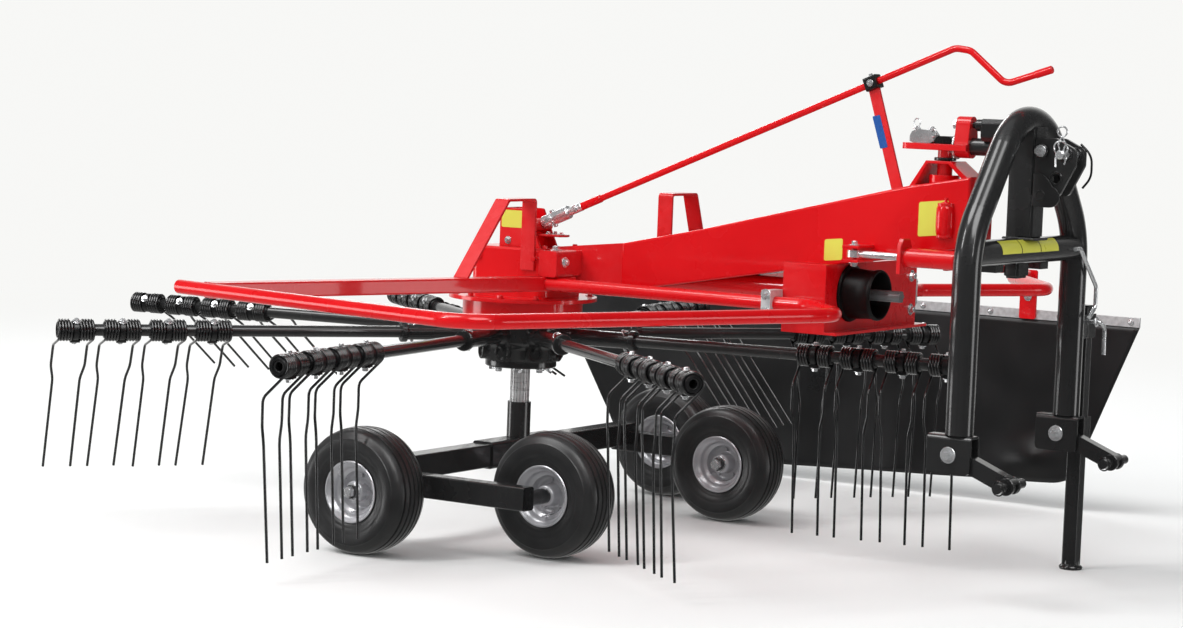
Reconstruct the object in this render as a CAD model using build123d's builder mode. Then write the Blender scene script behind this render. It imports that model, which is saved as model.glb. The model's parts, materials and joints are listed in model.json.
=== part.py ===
"""Mounted single-rotor rotary rake, standing on its four wheels and its parking stand.

Millimetres. +X points forward to the tractor, +Y to the left, +Z up.
The origin is on the floor, below the middle of the machine's outline.
Places along X are given as distances ahead of the rotor's axis.
"""

import os
from math import atan2, cos, radians, sin

from build123d import *

os.makedirs("parts", exist_ok=True)

# Rotor: a ring of arms on a vertical shaft, each with coiled double tines
ROTOR_X = -190.0
ROTOR_Z = 594.0
ARM_PHASE = 7.8
# Each arm's roll about its own tube, set by the cam: nought where it rakes, lifted at the swath
ARM_ROLLS = [0, 0, 40, 60, 60, 30, 0, 0]
ARM_REACH = 1449.0
ARM_TUBE_R = 18.0
SOCKET_R = 25.0
SOCKET_REACH = 395.0
COLLAR_R = 32.0
COLLAR_LENGTH = 18.0
HUB_R = 150.0
HUB_BELOW = 91.0
HUB_ABOVE = 46.0
HUB_PLATE_R = 172.0
HUB_PLATE_T = 14.0
HUB_EDGE = 8.0

# Spring tines: two coils side by side, each with a leg that runs under its coil and then hangs
TINE_PAIRS = 4
PAIR_PITCH = 138.0
COIL_R = 34.0
COIL_WIDTH = 40.0
COIL_SPREAD = 64.0
CARRIER_MARGIN = 5.0
WIRE_R = 4.75
WIRE_SIDES = 6
LEG_SLANT = 96.0
LEG_SLANT_DEG = 45.8
LEG_UPPER = 77.0
LEG_CROSS = 48.0
LEG_SIDESTEP = 10.0
LEG_LOWER = 325.0
LEG_LEAN_DEG = 3.4

# Shaft, chassis and wheels
RUN_GAP = 0.3
SHAFT_R = 30.5
SPLINES = 20
SPLINE_W = 4.0
SPLINE_DEPTH = 3.0
SLEEVE_R = 37.0
SLEEVE_H = 111.0
AXLE_W = 66.0
AXLE_H = 72.0
AXLE_LIFT = 3.0
AXLE_SLEEVE_WALL = 6.0
AXLE_SLEEVE_HALF = 190.0
TUBE_EDGE = 5.0
TYRE_R = 185.0
TYRE_W = 146.0
TREAD_W = 112.0
SHOULDER_DROP = 8.0
BULGE_R = 138.0
BEAD_W = 116.0
BEAD_R = 80.0
FLANGE_T = 8.0
FLANGE_H = 11.0
RIM_WELL_R = 70.0
DISC_T = 10.0
WHEEL_HUB_R = 31.0
WHEEL_HUB_W = 96.0
STUB_R = 15.0
SPACER_R = 23.0
NUT_R = 20.0
NUT_T = 14.0
REAR_WHEEL_AHEAD = 41.0
REAR_WHEEL_Y = 843.0
FRONT_WHEEL_AHEAD = 473.0
FRONT_WHEEL_Y = 501.0
WHEEL_ARM_Y = 682.0
WHEEL_ARM_W = 50.0
WHEEL_ARM_H = 68.0
WHEEL_ARM_LIFT = 8.0
WHEEL_ARM_OVERHANG = 34.0

# Gear housing over the hub and the beam that carries it
CAM_R = 188.0
CAM_FLANGE_R = 232.0
CAM_GAP = 5.0
CAM_H = 56.0
CAM_FLANGE_T = 12.0
GEAR_BACK = -130.0
GEAR_FRONT = 150.0
GEAR_HALF_W = 112.0
GEAR_CORNER_R = 30.0
GEAR_EDGE = 6.0
GEAR_OVER_BEAM = 98.0
BEAM_OVER_CAM = 55.0
BEAM_REAR_HALF_W = 60.0
BEAM_HALF_W = 80.0
BEAM_EDGE_R = 7.0
BEAM_WIDE_AHEAD = 410.0
BEAM_RISE_AHEAD = 480.0
BEAM_REAR_H = 106.0
BEAM_KNEE_H = 134.0
BEAM_SLOPE_AHEAD = 675.0
BEAM_SLOPE_H = 190.0
BEAM_NOSE_AHEAD = 1555.0
BEAM_NOSE_RISE = 190.0
BEAM_NOSE_H = 200.0
BROW_LENGTH = 199.0
BROW_DROP = 35.0
ARCH_HALF_W = 50.0
ARCH_T = 8.0
ARCH_H = 40.0
ARCH_INSET = 0.86
ARCH_REAR_FOOT = 86.0
ARCH_REAR_TOP = 36.0
ARCH_FRONT_TOP = 40.0
ARCH_FRONT_FOOT = 96.0
PAD_SETBACK = 71.0
PAD_LIFT = 26.0
PAD_H = 97.0
PAD_R = 24.0

# Power take-off housing, its guard and stub shaft
PTO_LIFT = 32.0
PTO_SHAFT_R = 17.45
PTO_SETBACK = 545.0
PTO_DEPTH = 140.0
PTO_RIGHT = -150.0
PTO_LEFT = 430.0
PTO_BELOW = 115.0
PTO_WALL = 8.0
PTO_LIP = 40.0
BELL_R = 70.0
BELL_WALL = 4.0
BELL_LENGTH = 100.0
PTO_COLLAR_R = 24.0
PTO_COLLAR_LENGTH = 20.0
PTO_STUB_LENGTH = 150.0
DRIVE_TUBE_R = 32.0

# Guards, curtain and arm racks
GUARD_R = 20.0
GUARD_ARM_W = 60.0
GUARD_ARM_H = 44.0
SOCKET_W = 66.0
SOCKET_H = 80.0
SOCKET_REACH_OUT = 140.0
SOCKET_EDGE = 12.0
RIGHT_SOCKET_AHEAD = 222.0
LEFT_SOCKET_AHEAD = 525.0
ARM_SIDE_GAP = 15.0
GUARD_TAIL_AHEAD = -300.0
GUARD_TAIL_Y = -1275.0
GUARD_CORNER_AHEAD = 860.0
GUARD_CORNER_Y = -1515.0
GUARD_TIP_FORWARD = 320.0
GUARD_TIP_Y = -400.0
GUARD_RETURN_FORWARD = 120.0
GUARD_RETURN_GAP = 20.0
GUARD_INNER_AHEAD = 200.0
GUARD_INNER_GAP = 12.0
GUARD_BENDS = [120.0, 90.0, 90.0]
ARM_LANDING = 0.115
CLIP_LENGTH = 30.0
CLIP_H = 76.0
CLIP_OUT = 72.0
LEFT_GUARD_LIFT = 17.0
GUARD_PLATE_T = 10.0
GUARD_PLATE_H = 84.0
GUARD_PLATE_L = 64.0
PLATE_ROUND = 8.0
LEFT_GUARD_STUB = 80.0
LEFT_GUARD_TIP_FORWARD = 245.0
LEFT_GUARD_TIP_Y = 960.0
LEFT_GUARD_END = 138.0
LEFT_GUARD_BENDS = [60.0, 120.0, 90.0]
FRONT_HANGER_AHEAD = 1028.0
CURTAIN_ARM_AHEAD = 291.0
CURTAIN_ARM_END = 228.0
ARM_LAP = 10.0
CURTAIN_Y = 1540.0
CURTAIN_T = 6.0
CURTAIN_BAR_T = 8.0
CURTAIN_BAR_H = 32.0
CURTAIN_DROP = 128.0
CURTAIN_REAR_TOP = -930.0
CURTAIN_FRONT_TOP = 1430.0
CURTAIN_FRONT_BOTTOM = 1235.0
CURTAIN_REAR_BOTTOM = -590.0
CURTAIN_FRONT_Z = 95.0
CURTAIN_REAR_Z = 14.0
CURTAIN_CORNER_R = 90.0
HANGER_T = 8.0
HANGER_W = 60.0
RACK_W = 50.0
RACK_T = 8.0
RACK_BEND_R = 14.0
RACK_SHELF = 150.0
RACK_FOOT_LIFT = 10.0
RACK_FOOT_WIDEN = 1.4

# Crank that sets the working height
CRANK_R = 10.0
CRANK_JOINT_R = 14.0
CRANK_JOINT_LENGTH = 130.0
CRANK_FOOT_AHEAD = 168.0
CRANK_FOOT_LIFT = 118.0
CRANK_KNEE_FORWARD = 16.0
CRANK_KNEE_LIFT = 360.0
CRANK_BENDS = [50.0, 40.0, 40.0]
CRANK_CROWN = (48.0, -6.0)
CRANK_DIP = (160.0, -97.0)
CRANK_GRIP = (298.0, -52.0)
CRANK_BRACKET_W = 100.0
CRANK_BRACKET_T = 8.0
CRANK_BRACKET_H = 119.0
CRANK_BRACKET_BACK = 62.0
CRANK_BRACKET_TOP = 36.0
CRANK_BRACKET_FOOT = 92.0
TRUNNION_R = 22.0
STRUT_W = 36.0
STRUT_T = 8.0
STRUT_SETBACK = 66.0
CLIP_SIZE = 40.0
CLIP_SHARE = 0.8

# Headstock, its swivel and the hitch
SWIVEL_SETBACK = 119.0
SWIVEL_PIN_R = 22.0
SWIVEL_BOSS_R = 44.0
YOKE_T = 18.0
YOKE_HALF_W = 45.0
YOKE_DROP = 46.0
YOKE_LIFT = 70.0
LEVER_BACK = 130.0
LEVER_HALF_W = 34.0
LEVER_ROUND = 28.0
KNUCKLE_AHEAD = 84.0
KNUCKLE_T = 44.0
KNUCKLE_LOW_R = 34.0
KNUCKLE_HIGH_R = 24.0
HEAD_GAP = 135.0
HEAD_TUBE_R = 39.0
LEG_Y = 358.0
LEG_BOTTOM = 467.0
SHOULDER_LIFT = 42.0
APEX_LIFT = 450.0
SHOULDER_BEND = 250.0
APEX_BEND = 210.0
CROSSBAR_R = 37.0
POST_W = 80.0
POST_EDGE_R = 9.0
POST_BELOW = 32.0
POST_SINK = 11.0
LOW_ROD_R = 25.0
LOW_ROD_LIFT = 14.0
HIGH_ROD_R = 9.0
HIGH_ROD_DROP = 20.0
EAR_T = 12.0
EAR_Y = 32.0
EAR_ROUND = 20.0
EAR_PIN_R = 12.7
EAR_PIN_AHEAD = 130.0
EAR_PIN_DROP = 90.7
EAR_EDGE = 30.0
EAR_BROW = 44.0
EAR_FOOT_DROP = 117.0
EAR_HOLE_DROP = 67.0
EAR_HOLE_BACK = 26.0
TOP_PIN_LENGTH = 130.0
BRACKET_L = 130.0
BRACKET_W = 57.0
BRACKET_H = 105.0
BRACKET_T = 8.0
BRACKET_R = 14.0
BRACKET_BACK = 82.0
PIVOT_R = 10.0
PIVOT_DROP = 54.0
PIVOT_BACK = 17.0
LINK_LENGTH = 185.0
LINK_DROP_DEG = 22.0
LINK_H = 46.0
LINK_WALL = 8.0
LINK_SOLID = 45.0
LINK_PIN_R = 14.0
LINK_PIN_LENGTH = 160.0
LINK_SIDE_GAP = 1.5
HOOK_R = 6.0
HOOK_INNER_Y = 262.0
HOOK_STRAIGHT = 38.0
HOOK_OUT = 123.0
HOOK_FALL = 113.0
HOOK_TAIL = 60.0
HOOK_TURN = 40.0
HOOK_RISE = 27.0
HOOK_FORWARD = 19.0
HOOK_BENDS = [18.0, 25.0, 20.0]

# Damper struts beside the beam's nose
DAMPER_Y = 150.0
DAMPER_DROP = 33.0
DAMPER_SETBACK = 70.0
DAMPER_SPAN = 383.0
DAMPER_TUBE_R = 22.0
DAMPER_COLLAR_R = 29.0
DAMPER_COLLAR_L = 16.0
DAMPER_ROD_R = 10.0
DAMPER_TUBE_START = 150.0
DAMPER_ROD_SHORT = 150.0
DAMPER_EYE_R = 20.0
DAMPER_EYE_H = 20.0
DAMPER_NECK = 56.0
DAMPER_PIN_R = 8.0
DAMPER_EYE_PLAY = 5.0
DAMPER_STROKE = 46.0
DAMPER_LUG_T = 8.0
DAMPER_LUG_GAP = 6.0
DAMPER_LUG_MARGIN = 6.0

# Parking stand on the left leg
STAND_OUT = 92.0
STAND_W = 44.0
STAND_EDGE = 5.0
STAND_ABOVE = 20.0
STAND_FOOT_R = 33.0
STAND_FOOT_T = 8.0
STAND_GUIDE_WALL = 6.0
HIGH_GUIDE_LIFT = 223.0
HIGH_GUIDE_H = 70.0
LOW_GUIDE_DROP = 12.0
LOW_GUIDE_H = 60.0


def ahead(distance):
    """Return the place along X that lies this far ahead of the rotor's axis."""
    return ROTOR_X + distance


# Levels and places that follow from the sizes above
ARM_COUNT = len(ARM_ROLLS)
HUB_BOTTOM = ROTOR_Z - HUB_BELOW
HUB_TOP = ROTOR_Z + HUB_ABOVE
CARRIER_START = ARM_REACH - (TINE_PAIRS - 1) * PAIR_PITCH - COIL_SPREAD - COIL_WIDTH - CARRIER_MARGIN
CAM_BOTTOM = HUB_TOP + CAM_GAP
CAM_TOP = CAM_BOTTOM + CAM_H + CAM_FLANGE_T
BEAM_BOTTOM = CAM_TOP + BEAM_OVER_CAM
GEAR_TOP = BEAM_BOTTOM + GEAR_OVER_BEAM
NOSE_BOTTOM = BEAM_BOTTOM + BEAM_NOSE_RISE
NOSE_TOP = NOSE_BOTTOM + BEAM_NOSE_H
BROW_AHEAD = BEAM_NOSE_AHEAD - BROW_LENGTH
BROW_TOP = NOSE_TOP - BROW_DROP
SLOPE_TOP = BEAM_BOTTOM + BEAM_SLOPE_H
SWIVEL_AHEAD = BEAM_NOSE_AHEAD - SWIVEL_SETBACK
SWIVEL_X = ahead(SWIVEL_AHEAD)
HEAD_X = ahead(BEAM_NOSE_AHEAD + HEAD_GAP)
AXLE_Z = TYRE_R
AXLE_BOTTOM = AXLE_Z + AXLE_LIFT
AXLE_TOP = AXLE_BOTTOM + AXLE_H
GUARD_Z = BEAM_BOTTOM
GUARD_ARM_TOP = GUARD_Z + GUARD_ARM_H / 2
LEFT_GUARD_Z = GUARD_Z + LEFT_GUARD_LIFT
PTO_Z = BEAM_BOTTOM + PTO_LIFT
PTO_BOTTOM = PTO_Z - PTO_BELOW
PTO_BACK = BEAM_NOSE_AHEAD - PTO_SETBACK
PTO_FACE = PTO_BACK + PTO_DEPTH
BELLY_SLOPE = BEAM_NOSE_RISE / (BEAM_NOSE_AHEAD - BEAM_RISE_AHEAD)
PTO_TOP = BEAM_BOTTOM + (PTO_FACE - BEAM_RISE_AHEAD) * BELLY_SLOPE
YOKE_LOW_TOP = NOSE_BOTTOM - YOKE_DROP
YOKE_HIGH_BOTTOM = NOSE_TOP + YOKE_LIFT
DAMPER_Z = NOSE_BOTTOM - DAMPER_DROP
CROSSBAR_Z = NOSE_BOTTOM
SHOULDER_Z = CROSSBAR_Z + SHOULDER_LIFT
APEX_Z = SHOULDER_Z + APEX_LIFT
CROWN_Z = APEX_Z - APEX_BEND * (1 / sin(atan2(LEG_Y, APEX_LIFT)) - 1)
DAMPER_FRONT_X = HEAD_X - DAMPER_SETBACK
DAMPER_REAR_X = DAMPER_FRONT_X - DAMPER_SPAN
SIDES = [("right", -1), ("left", 1)]
SWIVEL_BEARING = YOKE_LOW_TOP + RUN_GAP


def write(piece, name):
    """Name a finished piece and write it."""
    piece.label = name
    export_step(piece, f"parts/{name}.step")


def bent_tube(points, radius, bends):
    """Add a round tube along straight runs joined by arcs."""
    with BuildLine() as route:
        FilletPolyline(*points, radius=bends)
    with BuildSketch(Plane(origin=route.line @ 0, z_dir=route.line % 0)) as section:
        Circle(radius)
    sweep(section.sketch, path=route.line)


def straight_rod(start, end, radius, mode=Mode.ADD):
    """Add a round rod between two points."""
    axis = Vector(*end) - Vector(*start)
    with BuildSketch(Plane(origin=start, z_dir=axis)) as section:
        Circle(radius)
    extrude(section.sketch, amount=axis.length, mode=mode)


def box_between(x, y, z, mode=Mode.ADD):
    """Add a box that spans three (low, high) ranges."""
    with Locations(((x[0] + x[1]) / 2, (y[0] + y[1]) / 2, (z[0] + z[1]) / 2)):
        Box(x[1] - x[0], y[1] - y[0], z[1] - z[0], mode=mode)


def upright_tube(middle, x_width, y_width, z, corner):
    """Add an upright bar with rounded corners round a place in plan."""
    with BuildSketch(Plane.XY.offset(z[0])) as section:
        with Locations(middle):
            RectangleRounded(x_width, y_width, corner)
    extrude(section.sketch, amount=z[1] - z[0])


def cross_tube(x, y, z, corner):
    """Add a bar along Y with rounded corners that spans three (low, high) ranges."""
    with BuildSketch(Plane.XZ.offset(-y[0])) as section:
        with Locations(((x[0] + x[1]) / 2, (z[0] + z[1]) / 2)):
            RectangleRounded(x[1] - x[0], z[1] - z[0], corner)
    extrude(section.sketch, amount=y[0] - y[1])


def beam_top(distance):
    """Return the level of the nose's upper edge this far ahead of the rotor's axis."""
    return NOSE_TOP - (BEAM_NOSE_AHEAD - distance) * BROW_DROP / BROW_LENGTH


# Beam: a narrow rear box that widens into a rising wedge, with a bored boss for the swivel
with BuildPart() as wedge:
    with BuildSketch(Plane.XZ):
        with BuildLine():
            Polyline(
                (ahead(BEAM_WIDE_AHEAD), BEAM_BOTTOM),
                (ahead(BEAM_RISE_AHEAD), BEAM_BOTTOM),
                (ahead(BEAM_NOSE_AHEAD), NOSE_BOTTOM),
                (ahead(BEAM_NOSE_AHEAD), NOSE_TOP),
                (ahead(BROW_AHEAD), BROW_TOP),
                (ahead(BEAM_SLOPE_AHEAD), SLOPE_TOP),
                (ahead(BEAM_WIDE_AHEAD), BEAM_BOTTOM + BEAM_KNEE_H),
                close=True,
            )
        make_face()
    extrude(amount=BEAM_HALF_W, both=True)
    cheeks = wedge.faces().sort_by(Axis.Y)
    fillet(cheeks[0].edges() + cheeks[-1].edges(), BEAM_EDGE_R)

with BuildPart() as main_beam:
    with BuildSketch(Plane.XZ):
        with BuildLine():
            Polyline(
                (ahead(GEAR_FRONT), BEAM_BOTTOM),
                (ahead(BEAM_RISE_AHEAD), BEAM_BOTTOM),
                (ahead(BEAM_RISE_AHEAD), BEAM_BOTTOM + BEAM_KNEE_H),
                (ahead(BEAM_WIDE_AHEAD), BEAM_BOTTOM + BEAM_KNEE_H),
                (ahead(GEAR_FRONT), BEAM_BOTTOM + BEAM_REAR_H),
                close=True,
            )
        make_face()
    extrude(amount=BEAM_REAR_HALF_W, both=True)
    add(wedge.part)
    # Strap bent over the nose that holds the upper end of the swivel pin
    arch_points = [
        # place from the swivel, level above the nose's upper edge
        (-ARCH_REAR_FOOT, 0.0),
        (-ARCH_REAR_TOP, ARCH_H),
        (ARCH_FRONT_TOP, ARCH_H),
        (ARCH_FRONT_FOOT, 0.0),
    ]
    with BuildSketch(Plane.XZ) as strap:
        with BuildLine():
            Polyline(
                *[
                    (SWIVEL_X + place, NOSE_TOP + level if level else beam_top(SWIVEL_AHEAD + place))
                    for place, level in arch_points
                ],
                *[
                    (
                        SWIVEL_X + place * ARCH_INSET,
                        NOSE_TOP + level - ARCH_T if level else beam_top(SWIVEL_AHEAD + place) - ARCH_T,
                    )
                    for place, level in reversed(arch_points)
                ],
                close=True,
            )
        make_face()
    extrude(strap.sketch, amount=ARCH_HALF_W, both=True)
    straight_rod(
        (ahead(BEAM_NOSE_AHEAD - PAD_SETBACK), -BEAM_HALF_W, NOSE_BOTTOM + PAD_LIFT),
        (ahead(BEAM_NOSE_AHEAD - PAD_SETBACK), -BEAM_HALF_W, NOSE_BOTTOM + PAD_LIFT + PAD_H),
        PAD_R,
    )
    straight_rod((SWIVEL_X, 0, SWIVEL_BEARING), (SWIVEL_X, 0, NOSE_TOP), SWIVEL_BOSS_R)
    straight_rod(
        (SWIVEL_X, 0, YOKE_LOW_TOP),
        (SWIVEL_X, 0, YOKE_HIGH_BOTTOM),
        SWIVEL_PIN_R + RUN_GAP,
        mode=Mode.SUBTRACT,
    )
write(main_beam.part, "main_beam")

# Gear housing: a round cam drum and flange under a rounded box
with BuildPart() as gear_housing:
    straight_rod((ROTOR_X, 0, CAM_BOTTOM), (ROTOR_X, 0, CAM_BOTTOM + CAM_H), CAM_R)
    straight_rod((ROTOR_X, 0, CAM_BOTTOM + CAM_H), (ROTOR_X, 0, CAM_TOP), CAM_FLANGE_R)
    upright_tube(
        (ahead((GEAR_BACK + GEAR_FRONT) / 2), 0),
        GEAR_FRONT - GEAR_BACK,
        2 * GEAR_HALF_W,
        (CAM_TOP, GEAR_TOP),
        GEAR_CORNER_R,
    )
    chamfer(gear_housing.faces().sort_by(Axis.Z)[-1].edges(), GEAR_EDGE)
write(gear_housing.part, "gear_housing")

# Drive line tube below the beam
with BuildPart() as drive_tube:
    straight_rod((ahead(BEAM_RISE_AHEAD), 0, PTO_Z), (ahead(PTO_BACK), 0, PTO_Z), DRIVE_TUBE_R)
    add(main_beam.part, mode=Mode.SUBTRACT)
write(drive_tube.part, "drive_tube")

# Power take-off housing: a folded box under the beam, open below
with BuildPart() as pto_housing:
    box_between((ahead(PTO_BACK), ahead(PTO_FACE)), (PTO_RIGHT, PTO_LEFT), (PTO_BOTTOM, PTO_TOP))
    box_between(
        (ahead(PTO_BACK) + PTO_WALL, ahead(PTO_FACE) - PTO_WALL),
        (PTO_RIGHT + PTO_WALL, PTO_LEFT - PTO_WALL),
        (PTO_BOTTOM, PTO_TOP - PTO_WALL),
        mode=Mode.SUBTRACT,
    )
    box_between(
        (ahead(PTO_FACE), ahead(PTO_FACE) + PTO_LIP),
        (PTO_RIGHT, PTO_LEFT),
        (PTO_BOTTOM, PTO_BOTTOM + PTO_WALL),
    )
    with BuildSketch(Plane.YZ.offset(ahead(PTO_FACE) - PTO_WALL)):
        with Locations((0, PTO_Z)):
            Circle(PTO_COLLAR_R)
    extrude(amount=PTO_WALL, mode=Mode.SUBTRACT)
    add(main_beam.part, mode=Mode.SUBTRACT)
write(pto_housing.part, "pto_housing")

with BuildPart() as pto_guard:
    with BuildSketch(Plane.YZ.offset(ahead(PTO_FACE))):
        with Locations((0, PTO_Z)):
            Circle(BELL_R)
            Circle(BELL_R - BELL_WALL, mode=Mode.SUBTRACT)
    extrude(amount=BELL_LENGTH)
write(pto_guard.part, "pto_guard")

with BuildPart() as pto_shaft:
    collar_end = ahead(PTO_FACE) + PTO_COLLAR_LENGTH
    straight_rod((ahead(PTO_BACK) + PTO_WALL, 0, PTO_Z), (collar_end, 0, PTO_Z), PTO_COLLAR_R)
    straight_rod((collar_end, 0, PTO_Z), (collar_end + PTO_STUB_LENGTH, 0, PTO_Z), PTO_SHAFT_R)
write(pto_shaft.part, "pto_shaft")

# Guard sockets: rounded stubs on the beam's sides that hold the guard arms from above
SOCKETS = [
    # side, place ahead, half width of the beam there
    (-1, RIGHT_SOCKET_AHEAD, BEAM_REAR_HALF_W),
    (1, LEFT_SOCKET_AHEAD, BEAM_HALF_W),
]
with BuildPart() as guard_sockets:
    for side, place, beam_side in SOCKETS:
        cross_tube(
            (ahead(place) - SOCKET_W / 2, ahead(place) + SOCKET_W / 2),
            sorted((side * beam_side, side * (beam_side + SOCKET_REACH_OUT))),
            (GUARD_ARM_TOP, GUARD_ARM_TOP + SOCKET_H),
            SOCKET_EDGE,
        )
write(guard_sockets.part, "guard_sockets")

# Right guard: one bent tube from its free rear end round the front and back along the beam
GUARD_ROUTE = [
    (ahead(GUARD_TAIL_AHEAD), GUARD_TAIL_Y, GUARD_Z),
    (ahead(GUARD_CORNER_AHEAD), GUARD_CORNER_Y, GUARD_Z),
    (ahead(PTO_BACK + GUARD_TIP_FORWARD), GUARD_TIP_Y, GUARD_Z),
    (ahead(PTO_BACK + GUARD_RETURN_FORWARD), PTO_RIGHT - GUARD_R - GUARD_RETURN_GAP, GUARD_Z),
    (ahead(GUARD_INNER_AHEAD), PTO_RIGHT - GUARD_R - GUARD_INNER_GAP, GUARD_Z),
]
with BuildPart() as guard_right:
    bent_tube(GUARD_ROUTE, GUARD_R, GUARD_BENDS)
write(guard_right.part, "guard_right")


def guard_arm(inner, outer):
    """Add a level box tube with rounded edges from the socket out to the guard."""
    run = Vector(*outer) - Vector(*inner)
    across = Plane(origin=(*inner, GUARD_Z), x_dir=(-run.Y, run.X, 0), z_dir=(run.X, run.Y, 0))
    with BuildSketch(across) as section:
        RectangleRounded(GUARD_ARM_W, GUARD_ARM_H, TUBE_EDGE)
    extrude(section.sketch, amount=run.length)


FREE_END = Vector(*GUARD_ROUTE[0])
GUARD_CORNER = Vector(*GUARD_ROUTE[1])
ARM_END = FREE_END + (GUARD_CORNER - FREE_END) * ARM_LANDING
RIGHT_ARM = [(ahead(RIGHT_SOCKET_AHEAD), -BEAM_REAR_HALF_W - ARM_SIDE_GAP), (ARM_END.X, ARM_END.Y)]
with BuildPart() as guard_arm_right:
    guard_arm(*RIGHT_ARM)
    add(guard_right.part, mode=Mode.SUBTRACT)
write(guard_arm_right.part, "guard_arm_right")

# Galvanised clip that ties the guard's inner run to the power take-off housing
with BuildPart() as guard_clip:
    box_between(
        (ahead(PTO_BACK) - CLIP_LENGTH, ahead(PTO_BACK)),
        (PTO_RIGHT - CLIP_OUT, PTO_RIGHT + PTO_WALL),
        (GUARD_Z - CLIP_H / 2, GUARD_Z + CLIP_H / 2),
    )
    add(guard_right.part, mode=Mode.SUBTRACT)
write(guard_clip.part, "guard_clip")

# Left guard: its plate on the housing, its tube, and the curtain arm behind it
PLATE_AHEAD = PTO_FACE - GUARD_PLATE_L / 2
with BuildPart() as guard_plate:
    box_between(
        (ahead(PLATE_AHEAD) - GUARD_PLATE_L / 2, ahead(PLATE_AHEAD) + GUARD_PLATE_L / 2),
        (PTO_LEFT, PTO_LEFT + GUARD_PLATE_T),
        (LEFT_GUARD_Z - GUARD_PLATE_H / 2, LEFT_GUARD_Z + GUARD_PLATE_H / 2),
    )
    fillet(guard_plate.edges().filter_by(Axis.Y), PLATE_ROUND)
write(guard_plate.part, "guard_plate")

HANGER_FACE = CURTAIN_Y - CURTAIN_BAR_T / 2 - HANGER_T
LEFT_ROUTE = [
    (ahead(PLATE_AHEAD), PTO_LEFT + GUARD_PLATE_T, LEFT_GUARD_Z),
    (ahead(PLATE_AHEAD), PTO_LEFT + GUARD_PLATE_T + LEFT_GUARD_STUB, LEFT_GUARD_Z),
    (ahead(PLATE_AHEAD + LEFT_GUARD_TIP_FORWARD), LEFT_GUARD_TIP_Y, LEFT_GUARD_Z),
    (ahead(FRONT_HANGER_AHEAD), HANGER_FACE - LEFT_GUARD_END, LEFT_GUARD_Z),
    (ahead(FRONT_HANGER_AHEAD), HANGER_FACE, LEFT_GUARD_Z),
]
with BuildPart() as guard_left:
    bent_tube(LEFT_ROUTE, GUARD_R, LEFT_GUARD_BENDS)
write(guard_left.part, "guard_left")

LEFT_ARM = [
    (ahead(LEFT_SOCKET_AHEAD), BEAM_HALF_W + ARM_SIDE_GAP),
    (ahead(CURTAIN_ARM_AHEAD), HANGER_FACE - CURTAIN_ARM_END),
]
with BuildPart() as curtain_arm:
    guard_arm(*LEFT_ARM)
    cross_tube(
        (ahead(CURTAIN_ARM_AHEAD) - GUARD_ARM_W / 2, ahead(CURTAIN_ARM_AHEAD) + GUARD_ARM_W / 2),
        (HANGER_FACE - CURTAIN_ARM_END - ARM_LAP, HANGER_FACE),
        (GUARD_Z - GUARD_ARM_H / 2, GUARD_ARM_TOP),
        TUBE_EDGE,
    )
write(curtain_arm.part, "curtain_arm")

# Curtain: hangers, a flat bar along the top and the rubberised sheet below it
CURTAIN_TOP = GUARD_Z - CURTAIN_DROP
HANGERS = [
    # place ahead, level of the tube it hangs from
    (CURTAIN_ARM_AHEAD, GUARD_Z),
    (FRONT_HANGER_AHEAD, LEFT_GUARD_Z),
]
with BuildPart() as curtain_hangers:
    for place, level in HANGERS:
        box_between(
            (ahead(place) - HANGER_W / 2, ahead(place) + HANGER_W / 2),
            (HANGER_FACE, HANGER_FACE + HANGER_T),
            (CURTAIN_TOP, level + GUARD_ARM_H / 2),
        )
    fillet(curtain_hangers.edges().filter_by(Axis.Y), PLATE_ROUND)
write(curtain_hangers.part, "curtain_hangers")

with BuildPart() as curtain_bar:
    box_between(
        (ahead(CURTAIN_REAR_TOP), ahead(CURTAIN_FRONT_TOP)),
        (CURTAIN_Y - CURTAIN_BAR_T / 2, CURTAIN_Y + CURTAIN_BAR_T / 2),
        (CURTAIN_TOP, CURTAIN_TOP + CURTAIN_BAR_H),
    )
write(curtain_bar.part, "curtain_bar")

with BuildPart() as curtain:
    with BuildSketch(Plane.XZ.offset(-CURTAIN_Y)) as sheet:
        with BuildLine():
            Polyline(
                (ahead(CURTAIN_REAR_TOP), CURTAIN_TOP),
                (ahead(CURTAIN_REAR_BOTTOM), CURTAIN_REAR_Z),
                (ahead(CURTAIN_FRONT_BOTTOM), CURTAIN_FRONT_Z),
                (ahead(CURTAIN_FRONT_TOP), CURTAIN_TOP),
                close=True,
            )
        make_face()
        fillet(sheet.vertices().sort_by(Axis.Y)[:2], CURTAIN_CORNER_R)
    extrude(sheet.sketch, amount=CURTAIN_T / 2, both=True)
write(curtain.part, "curtain")


def arm_place(arm, distance):
    """Return the place along X where a guard arm lies this far from the middle."""
    inner, outer = arm
    share = (distance - abs(inner[1])) / (abs(outer[1]) - abs(inner[1]))
    return inner[0] + share * (outer[0] - inner[0])


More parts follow.
